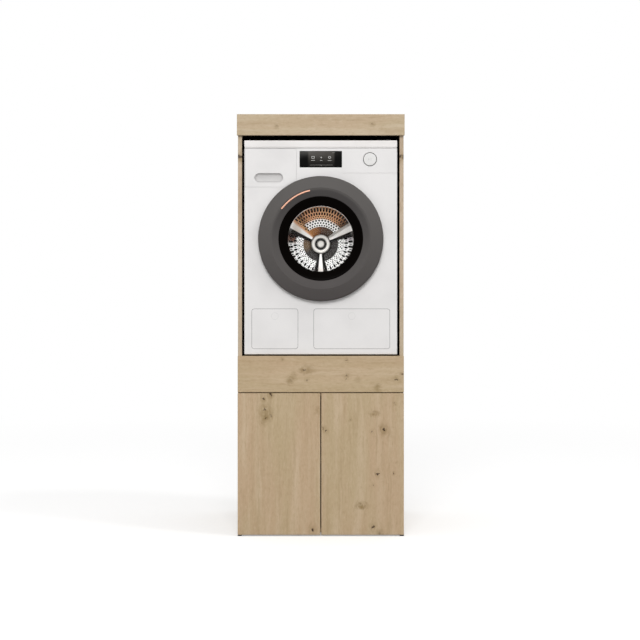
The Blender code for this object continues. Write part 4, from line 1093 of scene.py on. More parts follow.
# The hub, as radii and heights of its steps: cap, groove, ring and foot.
HUB_PROFILE = (
    (0.0, 0.0006),
    (0.0110, 0.0006),
    (0.0135, 0.0010),
    (0.0146, 0.0022),
    (0.0152, 0.006),
    (0.0236, 0.006),
    (0.0243, 0.0016),
    (0.0252, 0.0003),
    (0.0265, 0.0),
    (0.0355, 0.0),
    (0.0375, 0.0004),
    (0.0389, 0.0018),
    (0.0396, 0.005),
)
LIP_PROFILE = (
    (0.180, PLATE_DEPTH),
    (0.163, PLATE_DEPTH),
    (DRUM_MOUTH + 0.003, PLATE_DEPTH + 0.0008),
    (DRUM_MOUTH + 0.0008, PLATE_DEPTH + 0.0025),
    (DRUM_MOUTH + 0.0004, PLATE_DEPTH + 0.0055),
)


def bend(depth, low, high):
    """Points of the quarter circle between the wall and an end plate, from one angle to another."""
    turn = np.radians(np.linspace(low, high, 5))
    return [(DRUM_RADIUS - CORNER + CORNER * np.cos(way), depth + CORNER * np.sin(way)) for way in turn]


def drum():
    """The pot's skin: hub, smooth ring, dotted rows, slotted rows, wall, front plate and rolled mouth."""
    hub = [(radius, HUB_TOP + depth) for radius, depth in HUB_PROFILE]
    hub += [(HUB_EDGE, DRUM_FLOOR - 0.001)]
    hub += [(radius, DRUM_FLOOR) for radius in (0.0415, 0.056, ANNULUS_EDGE - 0.002, ANNULUS_EDGE)]
    floor_rim = [(radius, DRUM_FLOOR) for radius in (SLOT_ROWS[-1], SLOT_ROWS[-1] + 0.02)]
    dots = np.linspace(ANNULUS_EDGE, DOTS_EDGE, 4)
    fine = np.linspace(DOTS_EDGE, SLOT_ROWS[0], 3)
    wall = np.linspace(DRUM_FLOOR - CORNER, WALL_END, 17)
    front = bend(DRUM_FRONT + CORNER + PLATE_DEPTH, 0, -90)
    lip = [(radius, DRUM_FRONT + depth) for radius, depth in LIP_PROFILE]
    slot_lengths = (0.0062, 0.0092, 0.0092, 0.0092)
    zones = (
        (smooth_zone, hub),
        (perforated, dots, 48, (6, 2), (0.35, 0.0040, 0.5), 1.0, floor_surface),
        (perforated, fine, 72, (4, 4), (0.32, 0.0031, 0.6), 0.9, floor_surface),
        (perforated, SLOT_ROWS, 72, (4, 4), (0.33, slot_lengths, 1.0), 0.55, floor_surface),
        (smooth_zone, [*floor_rim, *bend(DRUM_FLOOR - CORNER, 90, 0)]),
        (perforated, wall, 72, (4, 2), (0.12, 0.0025, 0.0), 1.0, wall_surface),
        (smooth_zone, [(DRUM_RADIUS, WALL_END), *front, *lip]),
    )
    points, faces = [], []
    count = 0
    for make, *details in zones:
        made, quads = make(*details, count)
        points.append(made)
        faces += quads
        count += len(made)
    facts = {"stands_for": ("washer_drum",), "slot": "drum_steel", "sharp": 50.0}
    add_wall(piece("drum_pot", np.concatenate(points), faces, drum_steel(), "drum", **facts), DRUM_WALL, 1.0)


drum()

# %% [markdown]
# ## Lifters
#
# Three steel fins lift the laundry. Each one is a low rib on the drum's floor, which turns up along the
# wall. It is a ruled surface: a foot line and a crest line with the same number of points, joined by a
# trapezoid section with a soft top. The crest and the side that faces up catch the light. On the side that
# faces down an attribute paints a shade, near black, and tells the material how dark each side is. A second
# attribute paints a warm reflection on one lifter's side.

# %% Lifter steel
LIFTER_LIGHT = tone(244, 241, 238)


def lifter_steel():
    """Light steel with painted light: near black as a painted shade, or copper-coloured as a painted
    reflection, where an attribute says so.
    """
    graph = Graph("lifter steel")
    dark, warm_reflection = [graph.node("Attribute", attribute_name=name).outputs["Fac"] for name in ("dark", "warm_reflection")]
    cloud = graph.noise(22.0)
    light = graph.mix(graph.ramp(cloud, 0.40, 0.75, 0.0, 0.6), LIFTER_LIGHT, tone(214, 197, 180))
    light = graph.mix(graph.ramp(warm_reflection, 0.05, 0.75, 0.0, 0.95), light, tone(206, 146, 92))
    shade = graph.mix(graph.ramp(cloud, 0.40, 0.75, 0.0, 0.5), tone(20, 16, 14), tone(46, 36, 30))
    return graph.principled(
        Base_Color=graph.mix(dark, light, shade),
        Metallic=0.25,
        Roughness=graph.gloss(cloud, 0.36, 0.50),
        Specular_IOR_Level=0.3,
    )


# %% Lifters
# Angle, painted shade share of the two sides, the crest's lean in degrees, its breadth, and how much painted
# warm reflection a side has.
LIFTERS = (
    (270.0, (1.0, 1.0), 0.0, 0.96, 0.0),
    (150.0, (0.0, 1.0), -5.5, 1.42, 1.0),
    (28.0, (1.0, 0.0), -0.5, 0.90, 0.0),
)
LIFTER_ROOT = HUB_EDGE + 0.0015
FOOT_SPEED = 1.8
FOOT_HALF = ((0.04, 0.12, 0.25), (0.0125, 0.021, 0.024))
CREST_HALF = ((0.04, 0.16, 0.25), (0.0042, 0.0150, 0.0180))
CREST_STOPS = (0.0, 0.42, 0.60, 0.82, 1.0)

# The fin's section: shares of the height, of the foot's side and of the top's breadth.
SECTION_HEIGHT = np.array((0.0, 0.10, 0.90, 0.985, 1.0, 1.0, 1.0, 0.985, 0.90, 0.10, 0.0))
SECTION_SIDE = np.array((-1.0, -0.95, -0.06, -0.01, 0.0, 0.0, 0.0, 0.01, 0.06, 0.95, 1.0))
SECTION_TOP = np.array((-1, -1, -1, -0.97, -0.80, 0, 0.80, 0.97, 1, 1, 1))


def lifter_lines():
    """The foot line along floor and wall, and the crest line over it, softened by a short moving average."""
    low, wall = DRUM_FLOOR - GAP, DRUM_RADIUS - GAP
    front = DRUM_FRONT + DRUM_WALL + 0.004
    reach = np.linspace(0, 1, 25)
    rise = np.maximum(reach * FOOT_SPEED - 1, 0) / (FOOT_SPEED - 1)
    run = np.minimum(reach * FOOT_SPEED, 1)
    foot = np.column_stack((LIFTER_ROOT + (wall - LIFTER_ROOT) * run, low + (front - low) * rise))
    corners = ((LIFTER_ROOT, low - 0.0115), (wall - 0.085, low - 0.0125), (wall - 0.055, low - 0.055))
    corners += ((wall - 0.050, front + 0.040), (wall - 0.004, front))
    crest = np.column_stack([np.interp(reach, CREST_STOPS, values) for values in np.array(corners).T])
    rough = np.pad(crest, ((2, 2), (0, 0)), mode="edge")
    smooth = (rough[:-4] + 2 * rough[1:-3] + 3 * rough[2:-2] + 2 * rough[3:-1] + rough[4:]) / 9
    crest[1:-1] = smooth[1:-1]
    return foot, crest


def lifter(number, angle, shaded_sides, lean, breadth, reflection_warmth, finish):
    """One fin: place = foot line + height share of the crest line, and a half width for each share.

    The crest is a narrow wedge, and its middle may lean to one side by an angle round the drum's axis.
    """
    foot, crest = lifter_lines()
    slant = np.tan(np.radians(lean))
    foot_half = np.interp(foot[:, 0], *FOOT_HALF)[:, None]
    crest_half = np.interp(crest[:, 0], *CREST_HALF)[:, None] * breadth
    offset = crest[:, :1] * slant * (1 - np.abs(SECTION_SIDE))
    across = offset + SECTION_TOP * crest_half + SECTION_SIDE * (foot_half - crest_half)
    line = foot[:, None, :] + (crest - foot)[:, None, :] * SECTION_HEIGHT[None, :, None]
    turn = np.radians(angle)
    out, flank = np.array((np.cos(turn), np.sin(turn))), np.array((-np.sin(turn), np.cos(turn)))
    flat = line[..., :1] * out + across[..., None] * flank
    points = np.stack((RING_X + flat[..., 0], FRONT + line[..., 1], RING_Z + flat[..., 1]), axis=-1)
    facts = {"stands_for": (f"washer_lifter_{number}",), "slot": "bright_steel"}
    fin = piece(f"lifter_{number}", points, tube_faces(*points.shape[:2]), finish, "drum", **facts)
    place = mesh_points(fin.data)[:, (0, 2)] - (RING_X, RING_Z)
    radius = place @ out
    sideways = place @ flank - radius * slant
    limit = np.interp(radius, *CREST_HALF) * breadth * 0.99
    # Painted shade on the flanks that face down, and a painted warm reflection on one side.
    dark = np.where(sideways > limit, shaded_sides[1], np.where(sideways < -limit, shaded_sides[0], 0.0))
    warm_reflection = reflection_warmth * np.clip(-sideways / limit - 0.1, 0, 1)
    for name, values in (("dark", dark), ("warm_reflection", warm_reflection)):
        fin.data.attributes.new(name, "FLOAT", "POINT").data.foreach_set("value", values)


LIFTER_FINISH = lifter_steel()
for number, details in enumerate(LIFTERS, start=1):
    lifter(number, *details, LIFTER_FINISH)

# %% [markdown]
# ## Top cover
#
# The worktop of the machine is a moulded tray that sits over the casing. It reads as its own part because
# of its soft round edges, a slightly whiter white, and the shadow line below it. The solid is a plain
# plate, so the piece here is a slab with eased edges on a plinth that stands a little back.

# %% Top cover
COVER_RISE = 0.0026
COVER_CORNER = 0.0030
COVER_WHITE = moulded("cover white", tone(240, 237, 235), roughness=0.4, pebble=700.0, **WHITE_GRAIN)
PLINTH_INSET = 0.0015
PLINTH_HEIGHT = 0.0060


def top_cover():
    """A round-edged plate over a low plinth: outlines seen from the front, carried back at growing depths."""
    low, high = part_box("washer_top_cover")
    start, deep = low[1] - FRONT, high[1] - FRONT
    insets = (0.003, 0.0, 0.0, 0.0002, 0.0006, 0.0016)
    depths = (deep, deep - 0.003, start + 0.0020, start + 0.0008, start + 0.0002, start)
    corners = ((low[0], low[2] + COVER_RISE), (high[0], high[2] + COVER_RISE))
    plate = slab_rings(*corners, COVER_CORNER, insets, depths)
    corners = ((low[0] + PLINTH_INSET, low[2]), (high[0] - PLINTH_INSET, low[2] + PLINTH_HEIGHT))
    plinth = slab_rings(*corners, 0.0004, (0.0, 0.0), (deep - 0.006, start + 0.0016))
    facts = {"stands_for": ("washer_top_cover",), "slot": "white_plastic"}
    joined("top_cover", [plate, plinth], COVER_WHITE, "washer", **facts)


top_cover()

# %% [markdown]
# ## Display
#
# The display is a thin pane of black glass. Behind it a small screen glows softly: a grey field, three
# generic symbols with a short bar under each, and a thin line. The marks are thin solids on the pane, so
# they stay sharp from close by.

# %% Display
SCREEN_MIDDLE = (0.0021, 1.4765)
MARK_RISE = 0.0001

# Each mark is a frame: its place from the screen's middle, its half sizes, its corner and its line's width.
SYMBOLS = (
    (-0.0326, 0.0064, 0.0058, 0.0044, 0.0016, 0.0011),
    (0.0, 0.0064, 0.0024, 0.0024, 0.0023, 0.0012),
    (0.0326, 0.0064, 0.0050, 0.0050, 0.0049, 0.0012),
    (-0.0326, -0.0055, 0.0072, 0.0008, 0.0003, 0.00055),
    (0.0, -0.0055, 0.0040, 0.0008, 0.0003, 0.00055),
    (0.0326, -0.0055, 0.0072, 0.0008, 0.0003, 0.00055),
)
FAINT_LINES = (
    (0.0, -0.0234, 0.0445, 0.0006, 0.0002, 0.0004),
    (0.0, -0.0250, 0.0018, 0.0011, 0.0006, 0.0007),
    (0.0479, 0.0245, 0.0052, 0.0008, 0.0003, 0.0005),
)


def screen_glass():
    """Black glass with a soft grey field that fades at its edges, and a painted reflection, a faint sheen, at
    the upper left.
    """
    graph = Graph("display glass")
    place = graph.axes()
    off_across = graph.math("ABSOLUTE", graph.math("SUBTRACT", place[0], SCREEN_MIDDLE[0]))
    rise = graph.ramp(place[2], 1.452, 1.500, 0.12, 0.8)
    field = graph.math("MULTIPLY", graph.ramp(off_across, 0.046, 0.056, 1.0, 0.0), rise)
    # Painted reflection: a faint sheen mixed into the colour at the upper left.
    fall = graph.ramp(place[2], 1.474, 1.508, smooth=False)
    leftward = graph.ramp(place[0], 0.07, -0.06, 0.3, 1.0)
    sheen = graph.math("MULTIPLY", graph.math("MULTIPLY", fall, fall), leftward)
    colour = graph.mix(field, tone(6, 5, 5), tone(80, 76, 72))
    return graph.principled(
        Base_Color=graph.mix(graph.math("MULTIPLY", sheen, 0.5), colour, tone(84, 80, 76)),
        Roughness=graph.gloss(graph.noise(20.0, detail=1.0), 0.10, 0.16),
        Specular_IOR_Level=0.06,
    )


def frame_mark(middle, depth, across, up, half_across, half_up, corner, width):
    """A thin frame at an offset from a middle."""
    place = np.add(middle, (across, up))
    half = (half_across, half_up)
    return band(place - half, place + half, corner, width, depth, MARK_RISE * 2, steps=5)


def display():
    """The pane, its symbols and its bars."""
    low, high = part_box("washer_display")
    front = low[1] - FRONT
    insets = (0.0, 0.0, 0.0004, 0.0012)
    depths = (high[1] - FRONT, front + 0.0005, front + 0.0001, front)
    facts = {"stands_for": ("washer_display",), "slot": "black_glass"}
    pane = slab_rings((low[0], low[2]), (high[0], high[2]), 0.0025, insets, depths)
    joined("display_glass", [pane], screen_glass(), "washer", **facts)
    light = moulded("display light", tone(225, 224, 220), roughness=0.5)
    faint = moulded("display faint light", tone(140, 138, 134), roughness=0.5)
    for name, table, material in (("symbols", SYMBOLS, light), ("lines", FAINT_LINES, faint)):
        frames = [frame_mark(SCREEN_MIDDLE, front, *row) for row in table]
        joined(f"display_{name}", frames, material, "washer")


display()

# %% [markdown]
# ## Start button and drawer grip
#
# The start button is a disc in a fine dark groove, with a generic start and pause mark. It rides on its own
# body, so it can be pressed. The drawer's grip is a shallow round-ended cup: the solid has the recess, and
# a moulded liner gives it its soft walls, coloured a light grey as a painted shade in the cup.

# %% Start button
BUTTON_GROOVE = moulded("button groove", tone(74, 72, 70), roughness=0.6)
BUTTON_FACE = moulded("button face", tone(226, 225, 223), roughness=0.38, pebble=700.0)
FAINT_GREY = moulded("moulded mark", tone(206, 205, 203), roughness=0.5)
GROOVE_INSET = 0.0010
GROOVE_WIDTH = 0.0021
ARROW = np.array([(-0.0065, 0.0045), (-0.0065, -0.0045), (-0.0008, 0.0)])
PAUSE_BARS = ((0.0020, 0.0, 0.0009, 0.0045, 0.0004, 0.0006), (0.0060, 0.0, 0.0009, 0.0045, 0.0004, 0.0006))


def start_button():
    """A domed disc, a dark groove near its edge, and an arrow with two bars."""
    low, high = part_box("washer_start_button")
    middle = ((low[0] + high[0]) / 2, (low[2] + high[2]) / 2)
    radius = half_width("washer_start_button")
    front, back = low[1] - FRONT, high[1] - FRONT
    profile = [(0, back), (radius, back), (radius, front + 0.0011), (radius - 0.0014, front + 0.0004)]
    profile += [(radius - 0.006, front + 0.0001), (0, front)]
    facts = {"stands_for": ("washer_start_button",), "slot": "white_plastic", "centre": middle}
    profile = eased(profile, (0, 0.0005, 0.0005, 0.001, 0.004, 0))
    turned("button_disc", profile, BUTTON_FACE, "start_button", **facts)
    edge = radius - GROOVE_INSET
    ring = [(edge - GROOVE_WIDTH, front + 0.0001), (edge, front + 0.0002)]
    ring += [(edge, front + 0.0009), (edge - GROOVE_WIDTH, front + 0.0009)]
    turned("button_line", ring, BUTTON_GROOVE, "start_button", centre=middle)
    bars = [frame_mark(middle, front, *row) for row in PAUSE_BARS]
    levels = ((ARROW, 0.0001), (ARROW, -MARK_RISE), (ARROW * 0.9 + (-0.0004, 0), -MARK_RISE * 1.2))
    arrow = np.array([at_depth(flat + middle, front + depth) for flat, depth in levels])
    joined("button_symbol", [*bars, (arrow, tube_faces(3, 3))], FAINT_GREY, "start_button")


start_button()

# %% Drawer grip and seams
GRIP_LOW, GRIP_HIGH = (-0.2600, 1.3855), (-0.1480, 1.4215)
GRIP_STEPS = ((0.0006, -0.0002), (0.0008, 0.0002), (0.0022, 0.0040), (0.0040, 0.0078), (0.0066, 0.0098))
GRIP_STEPS += ((0.0100, 0.0106),)
# Painted shade: the grip's liner is a light grey, darker than the drawer's white, for the shade in the cup.
GRIP_SHADE_GREY = moulded("grip painted shade grey", tone(206, 204, 203), roughness=0.5, pebble=500.0)
# Painted shade: a dark strip in each seam round the flaps stands for the gap's shadow.
SEAM_SHADE = moulded("seam painted shade", tone(34, 33, 32), roughness=0.7)
SEAM_OUT = 0.0006
SEAM_WIDTH = 0.0010
SEAM_LIFT = 0.00014
FLAP_CORNER = 0.0106
FLAP_MARK = ((0.0130, -0.00012), (0.0138, -0.00012), (0.0138, 0.0), (0.0130, 0.0))
FLAP_MARK_HEIGHT = 0.8603


def grip_liner():
    """The cup's liner: a round-ended rim, walls that curve in, and a floor that tips up a little."""
    corner = (GRIP_HIGH[1] - GRIP_LOW[1]) / 2 - 0.0001
    liner = slab_rings(GRIP_LOW, GRIP_HIGH, corner, *zip(*GRIP_STEPS), steps=9, open_start=True)
    add_wall(joined("drawer_grip_liner", [liner], GRIP_SHADE_GREY, "drawer"), 0.0004, -1.0)


def seam_lines():
    """Dark strips of painted shade in the seams round the flaps, and the faint moulded ring at the top of
    each flap.
    """
    for name in ("filter", "dosing"):
        low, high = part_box(f"washer_{name}_flap")
        corners = ((low[0] - SEAM_OUT, low[2] - SEAM_OUT), (high[0] + SEAM_OUT, high[2] + SEAM_OUT))
        # The dark strip is painted shade in the seam.
        seal = band(*corners, FLAP_CORNER, SEAM_WIDTH, 0.0, SEAM_LIFT)
        joined(f"{name}_flap_seam_shade", [seal], SEAM_SHADE, "washer")
        middle = ((low[0] + high[0]) / 2, FLAP_MARK_HEIGHT)
        turned(f"{name}_flap_mark", FLAP_MARK, FAINT_GREY, f"{name}_flap", centre=middle)


grip_liner()
seam_lines()

# %% [markdown]
# ## Small fittings
#
# Doors and a machine that open show what holds them: screws on the hinge plates and brackets, a column of
# shelf-pin holes, and the pins under the shelf. The machine's rear has a pressed service cover with ribs
# and screws, caps over the transport bolts, and stubs for water. The drawer's tray is split into three by
# thin walls, and one part has a siphon cap. Behind the flaps are the lint filter's knob and two dosing
# cartridges. At the foot, two black pads show under the front corners. A stud is one short turned profile
# with few faces, repeated.

# %% Profiles of the studs
SCREW = ((0.0, 0.0011), (0.0012, 0.0004), (0.003, 0.001), (0.004, 0.0002), (0.004, -0.0002), (0.0, -0.0002))
CAP = ((0.0, 0.0030), (0.0105, 0.0028), (0.0130, 0.0014), (0.0130, -0.0004), (0.0, -0.0004))
PIN_HOLE = ((0.0, 0.0001), (0.0025, 0.0001), (0.0025, -0.0001), (0.0, -0.0001))
PIN = ((0.0, 0.0080), (0.0020, 0.0080), (0.0025, 0.0074), (0.0025, -0.0002), (0.0, -0.0002))
KNOB = ((0.0, 0.016), (0.026, 0.016), (0.030, 0.0145), (0.033, 0.011), (0.034, 0.004), (0.040, 0.0035))
KNOB += ((0.041, 0.002), (0.041, -0.0004), (0.0, -0.0004))
STUB = ((0.0, 0.017), (0.0075, 0.017), (0.0095, 0.018), (0.0110, 0.017), (0.0110, 0.0125), (0.0102, 0.012))
STUB += ((0.0110, 0.0115), (0.0110, 0.0075), (0.0102, 0.007), (0.0110, 0.0065), (0.0130, 0.005))
STUB += ((0.0150, 0.004), (0.0150, -0.0004), (0.0, -0.0004))
TO_FRONT = (0, -1, 0)
TO_REAR = (0, 1, 0)


def studs(name, profile, places, axis, material, body, steps=12):
    """A profile of (radius, height) at each place: place + radius (cos, sin) + height along the axis."""
    axis = np.asarray(axis, float)
    first = np.roll(axis, 1)
    second = np.cross(axis, first)
    radius, height = np.asarray(profile, float).T
    turn = np.linspace(0, 2 * np.pi, steps, endpoint=False)[:, None, None]
    shape = radius[:, None] * (np.cos(turn) * first + np.sin(turn) * second) + height[:, None] * axis
    faces = grid_faces(steps, len(profile), wrap_rows=True)
    joined(name, [(shape + np.asarray(place), faces) for place in places], material, body)


# %% Cabinet fittings
PIN_COLUMNS = (-0.2220, 0.2620)
PIN_LEVELS = np.arange(0.128, 0.52, 0.032)
SHELF_CLEAR = 0.006
PIN_DROP = 0.0027
SCREW_SPREAD = (-0.0180, 0.0180)
PLATE_FACE, PLATE_DEPTH_PLACE = 0.3057, -0.2580
BRACKET_FACE, BRACKET_DEPTH_PLACE = 0.3062, 0.3190
PAD_LOW, PAD_HIGH = (0.309, 0.0), (0.325, 0.0052)
PAD_DEPTHS = (FRONT_PLANE + 0.0008 - FRONT, FRONT_PLANE + 0.026 - FRONT)


def middle_height(node):
    """The height of a node's middle."""
    return sum(span(node, 2)) / 2


def cabinet_fittings():
    """Screws, pin holes and shelf pins on both side panels, and the front glide pads."""
    shelf_low, shelf_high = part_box("shelf")
    inner = shelf_high[0] + 0.0003
    clear = (PIN_LEVELS < shelf_low[2] - SHELF_CLEAR) | (PIN_LEVELS > shelf_high[2] + SHELF_CLEAR)
    for name, side in SIDES:
        inward = (-side, 0, 0)
        holes = [(side * inner, y, z) for y in PIN_COLUMNS for z in PIN_LEVELS[clear]]
        studs(f"pin_holes_{name}", PIN_HOLE, holes, inward, DARK_PLASTIC, "root", steps=8)
        pins = [(side * inner, y, shelf_low[2] - PIN_DROP) for y in PIN_COLUMNS]
        studs(f"shelf_pins_{name}", PIN, pins, inward, NICKEL, "root")
        arms = [middle_height(f"hinge_arm_{name}_{level}") for level in ("lower", "upper")]
        bracket = middle_height(f"wall_bracket_{name}")
        screws = [(side * PLATE_FACE, PLATE_DEPTH_PLACE, z + away) for z in arms for away in SCREW_SPREAD]
        screws += [(side * BRACKET_FACE, BRACKET_DEPTH_PLACE, bracket + away) for away in SCREW_SPREAD]
        studs(f"plate_screws_{name}", SCREW, screws, inward, NICKEL, "root")
    corners = (((-PAD_HIGH[0], PAD_LOW[1]), (-PAD_LOW[0], PAD_HIGH[1])), (PAD_LOW, PAD_HIGH))
    pads = [slab_rings(low, high, 0.0008, (0, 0), PAD_DEPTHS) for low, high in corners]
    joined("glide_pads", pads, DARK_PLASTIC, "root")


cabinet_fittings()

# %% The machine's rear
COVER_HALF = 0.205
COVER_LEVELS = (0.800, 1.400)
RIB_HALF = 0.150
RIB_LEVELS = (0.900, 1.000, 1.200, 1.300)
RIB_HEIGHT = 0.022
EDGE_SCREW = 0.017
SCREW_PROUD = 0.0042
BOLT_PLACES = ((-0.250, 0.930), (-0.250, 1.330), (0.250, 0.930), (0.250, 1.330))
STUB_PLACES = ((-0.245, 1.440), (0.245, 0.800))


def machine_rear():
    """The service cover with its ribs, screws, bolt caps and water stubs."""
    rear = span("washer_casing", 1)[1]
    at = rear - FRONT
    low, high = COVER_LEVELS
    depths = (at - 0.0004, at + 0.0008, at + 0.0030, at + 0.0040)
    ribs = [slab_rings((-COVER_HALF, low), (COVER_HALF, high), 0.030, (0.0, 0.0, 0.0012, 0.0040), depths)]
    depths = (at + 0.0036, at + 0.0050, at + 0.0066)
    for level in RIB_LEVELS:
        corners = ((-RIB_HALF, level), (RIB_HALF, level + RIB_HEIGHT))
        ribs.append(slab_rings(*corners, 0.0105, (0.0, 0.001, 0.0035), depths))
    joined("service_cover", ribs, ENAMEL, "washer")
    out = COVER_HALF - EDGE_SCREW
    levels = (low + EDGE_SCREW, high - EDGE_SCREW)
    screws = [(x, rear + SCREW_PROUD, z) for x in (-out, 0.0, out) for z in levels]
    screws += [(x, rear + SCREW_PROUD, (low + high) / 2) for x in (-out, out)]
    studs("cover_screws", SCREW, screws, TO_REAR, NICKEL, "washer")
    for name, profile, places in (("bolt_caps", CAP, BOLT_PLACES), ("water_stubs", STUB, STUB_PLACES)):
        studs(name, profile, [(x, rear, z) for x, z in places], TO_REAR, GREY_PLASTIC, "washer", steps=24)


machine_rear()

# %% Inside the drawer and behind the flaps
TRAY_WALL = 0.003
TRAY_SHARES = (0.36, 0.66)
TRAY_ENDS = (0.0182, 0.2268)
DIVIDER_HALF = 0.0008
WELL_FLOOR = 0.047
KNOB_PLACE = (-0.170, 0.796)
GRIP_HALF = (0.026, 0.0055)
CARTRIDGES = (0.0585, 0.1845)
CARTRIDGE_HALF = 0.055
CARTRIDGE_LEVELS = (0.756, 0.866)
CARTRIDGE_FRONT = 0.016
FILLER_HEIGHT = 0.826


def drawer_inside():
    """Two walls that split the tray, and the siphon cap in its middle part."""
    drawer = NODES["washer_drawer"]
    place = mesh_points(drawer.data) + np.array(drawer.matrix_world.translation)
    rear = place[place[:, 1] > place[:, 1].max() - 0.001]
    floor, top = rear[:, 2].min() + TRAY_WALL, rear[:, 2].max()
    left, right = rear[:, 0].min() + TRAY_WALL, rear[:, 0].max() - TRAY_WALL
    walls = [left + (right - left) * share for share in TRAY_SHARES]
    corners = [((x - DIVIDER_HALF, floor), (x + DIVIDER_HALF, top - 0.005)) for x in walls]
    parts = [slab_rings(*pair, 0.0004, (0, 0), TRAY_ENDS) for pair in corners]
    joined("tray_walls", parts, WHITE_PLASTIC, "drawer")
    corners = ((walls[0] + 0.0018, floor + 0.001), (walls[1] - 0.0018, top - 0.007))
    cap = slab_rings(*corners, 0.004, (0.003, 0.0, 0.0, 0.003), (0.060, 0.063, 0.177, 0.180))
    joined("siphon_cap", [cap], GREY_PLASTIC, "drawer")


def behind_flaps():
    """The lint filter's knob and grip behind the left flap, and two cartridges behind the right one."""
    knob = (KNOB_PLACE[0], FRONT + WELL_FLOOR, KNOB_PLACE[1])
    studs("filter_knob", KNOB, [knob], TO_FRONT, GREY_PLASTIC, "washer", steps=40)
    depths = (WELL_FLOOR - 0.026, WELL_FLOOR - 0.0245, WELL_FLOOR - 0.015)
    corners = (np.subtract(KNOB_PLACE, GRIP_HALF), np.add(KNOB_PLACE, GRIP_HALF))
    joined("filter_grip", [slab_rings(*corners, 0.004, (0.0015, 0.0, 0.0), depths)], GREY_PLASTIC, "washer")
    low, high = CARTRIDGE_LEVELS
    depths = (CARTRIDGE_FRONT, CARTRIDGE_FRONT + 0.0015, CARTRIDGE_FRONT + 0.005, WELL_FLOOR - 0.0004)
    corners = [((x - CARTRIDGE_HALF, low), (x + CARTRIDGE_HALF, high)) for x in CARTRIDGES]
    tanks = [slab_rings(*pair, 0.010, (0.0045, 0.0012, 0.0, 0.0), depths) for pair in corners]
    joined("dosing_cartridges", tanks, WHITE_PLASTIC, "washer")
    fillers = [(x, FRONT + CARTRIDGE_FRONT, FILLER_HEIGHT) for x in CARTRIDGES]
    studs("cartridge_caps", CAP, fillers, TO_FRONT, GREY_PLASTIC, "washer", steps=24)


drawer_inside()
behind_flaps()

# %% [markdown]
# ## Light, floor and background
#
# The photograph is lit like a catalogue cut-out: light from all round, a little more from the right, and a
# white ground on which only a faint shadow is left. The world is an even white dome. A large soft lamp
# above the front shapes the ring and the seams, and a weak sun comes from the right. A small lamp before
# the drum stands for the light that the drum's steel mirrors, and the camera doesn't see it. For the
# camera, and for reflections in metal and glass, the dome and the floor show as plain white, while a share
# of the floor's own shading keeps the shadow.

# %% World and floor
DOME_STRENGTH = 0.68
FLOOR_LIFT = 0.27
FLOOR_BOUNCE = 0.45
FLOOR_PALE = 0.86
FLOOR_FADE = (2.2, 6.0)
FLOOR_HALF = 30.0
WHITE_LIGHT = (1.0, 1.0, 1.0, 1.0)


def make_world():
    """A dome that lights evenly, and that the camera and mirrors see as plain white."""
    world = bpy.data.worlds.new("white dome")
    bpy.context.scene.world = world
    world.use_nodes = True
    tree = world.node_tree
    back = tree.nodes["Background"]
    back.inputs["Color"].default_value = WHITE_LIGHT
    path = tree.nodes.new("ShaderNodeLightPath")
    diffuse = tree.nodes.new("ShaderNodeMapRange")
    diffuse.inputs["To Min"].default_value = 1.0
    diffuse.inputs["To Max"].default_value = DOME_STRENGTH
    tree.links.new(path.outputs["Is Diffuse Ray"], diffuse.inputs["Value"])
    tree.links.new(diffuse.outputs[0], back.inputs["Strength"])


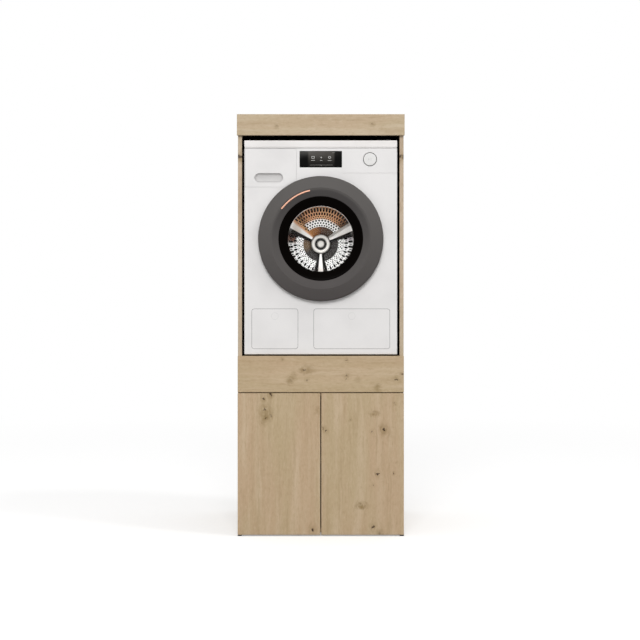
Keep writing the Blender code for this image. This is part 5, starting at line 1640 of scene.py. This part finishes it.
def floor_finish():
    """White that keeps its shading near the object, and turns plain white farther out."""
    graph = Graph("white floor")
    path = graph.node("LightPath").outputs
    direct = graph.math("MAXIMUM", path["Is Camera Ray"], path["Is Glossy Ray"])
    direct = graph.math("MAXIMUM", direct, path["Is Transmission Ray"])
    far = graph.ramp(graph.distance(*graph.axes()[:2]), *FLOOR_FADE)
    pale = graph.ramp(direct, 0.0, 1.0, FLOOR_BOUNCE, FLOOR_PALE, smooth=False)
    paint = graph.node("BsdfDiffuse", {"Color": graph.combine(pale, pale, pale)}).outputs[0]
    lift = graph.math("MULTIPLY", direct, graph.ramp(far, 0.0, 1.0, FLOOR_LIFT, 1.0, smooth=False))
    glow = graph.node("Emission", {"Color": WHITE_LIGHT, "Strength": lift}).outputs[0]
    none = graph.node("Emission", {"Color": (0.0, 0.0, 0.0, 1.0), "Strength": 0.0}).outputs[0]
    shaded = graph.node("MixShader", {0: graph.math("MULTIPLY", direct, far), 1: paint, 2: none}).outputs[0]
    return graph.finish(graph.node("AddShader", {0: shaded, 1: glow}))


def make_floor():
    """One large square on the ground, which isn't part of the object."""
    corners = [(x * FLOOR_HALF, y * FLOOR_HALF, 0) for x, y in ((-1, -1), (1, -1), (1, 1), (-1, 1))]
    mesh = bpy.data.meshes.new("floor")
    mesh.from_pydata(corners, [], [(0, 1, 2, 3)])
    mesh.materials.append(floor_finish())
    floor = bpy.data.objects.new("floor", mesh)
    bpy.context.scene.collection.objects.link(floor)


make_world()
make_floor()

# %% Lamps
FRONT_LAMP = dict(place=(-0.3, -7.0, 4.7), aim=(0, 0, 0.9), size=3.4, power=255)
RIGHT_SUN = dict(place=(3.6, -1.8, 4.6), aim=(0, 0, 0), size=9.0, power=0.30)
DRUM_LAMP = dict(place=(RING_X, FRONT + 0.088, RING_Z), aim=(RING_X, 0, RING_Z), size=0.29, power=0.32)


def make_lamp(name, kind, place, aim, size, power):
    """A soft lamp that looks at a point: a disc of a size in metres, or a far sun of a size in degrees."""
    data = bpy.data.lights.new(name, kind)
    if kind == "SUN":
        data.angle = np.radians(size)
    else:
        data.shape = "DISK"
        data.size = size
    data.energy = power
    lamp = bpy.data.objects.new(name, data)
    direction = np.array(aim) - np.array(place)
    level = float(np.hypot(direction[0], direction[1]))
    lamp.location = place
    lamp.rotation_euler = (np.arctan2(level, -direction[2]), 0, np.arctan2(-direction[0], direction[1]))
    bpy.context.scene.collection.objects.link(lamp)
    return lamp


make_lamp("front lamp", "AREA", **FRONT_LAMP)
make_lamp("right sun", "SUN", **RIGHT_SUN)
make_lamp("drum lamp", "AREA", **DRUM_LAMP).visible_camera = False
bpy.context.scene.view_settings.view_transform = "Standard"
print("stage ready")
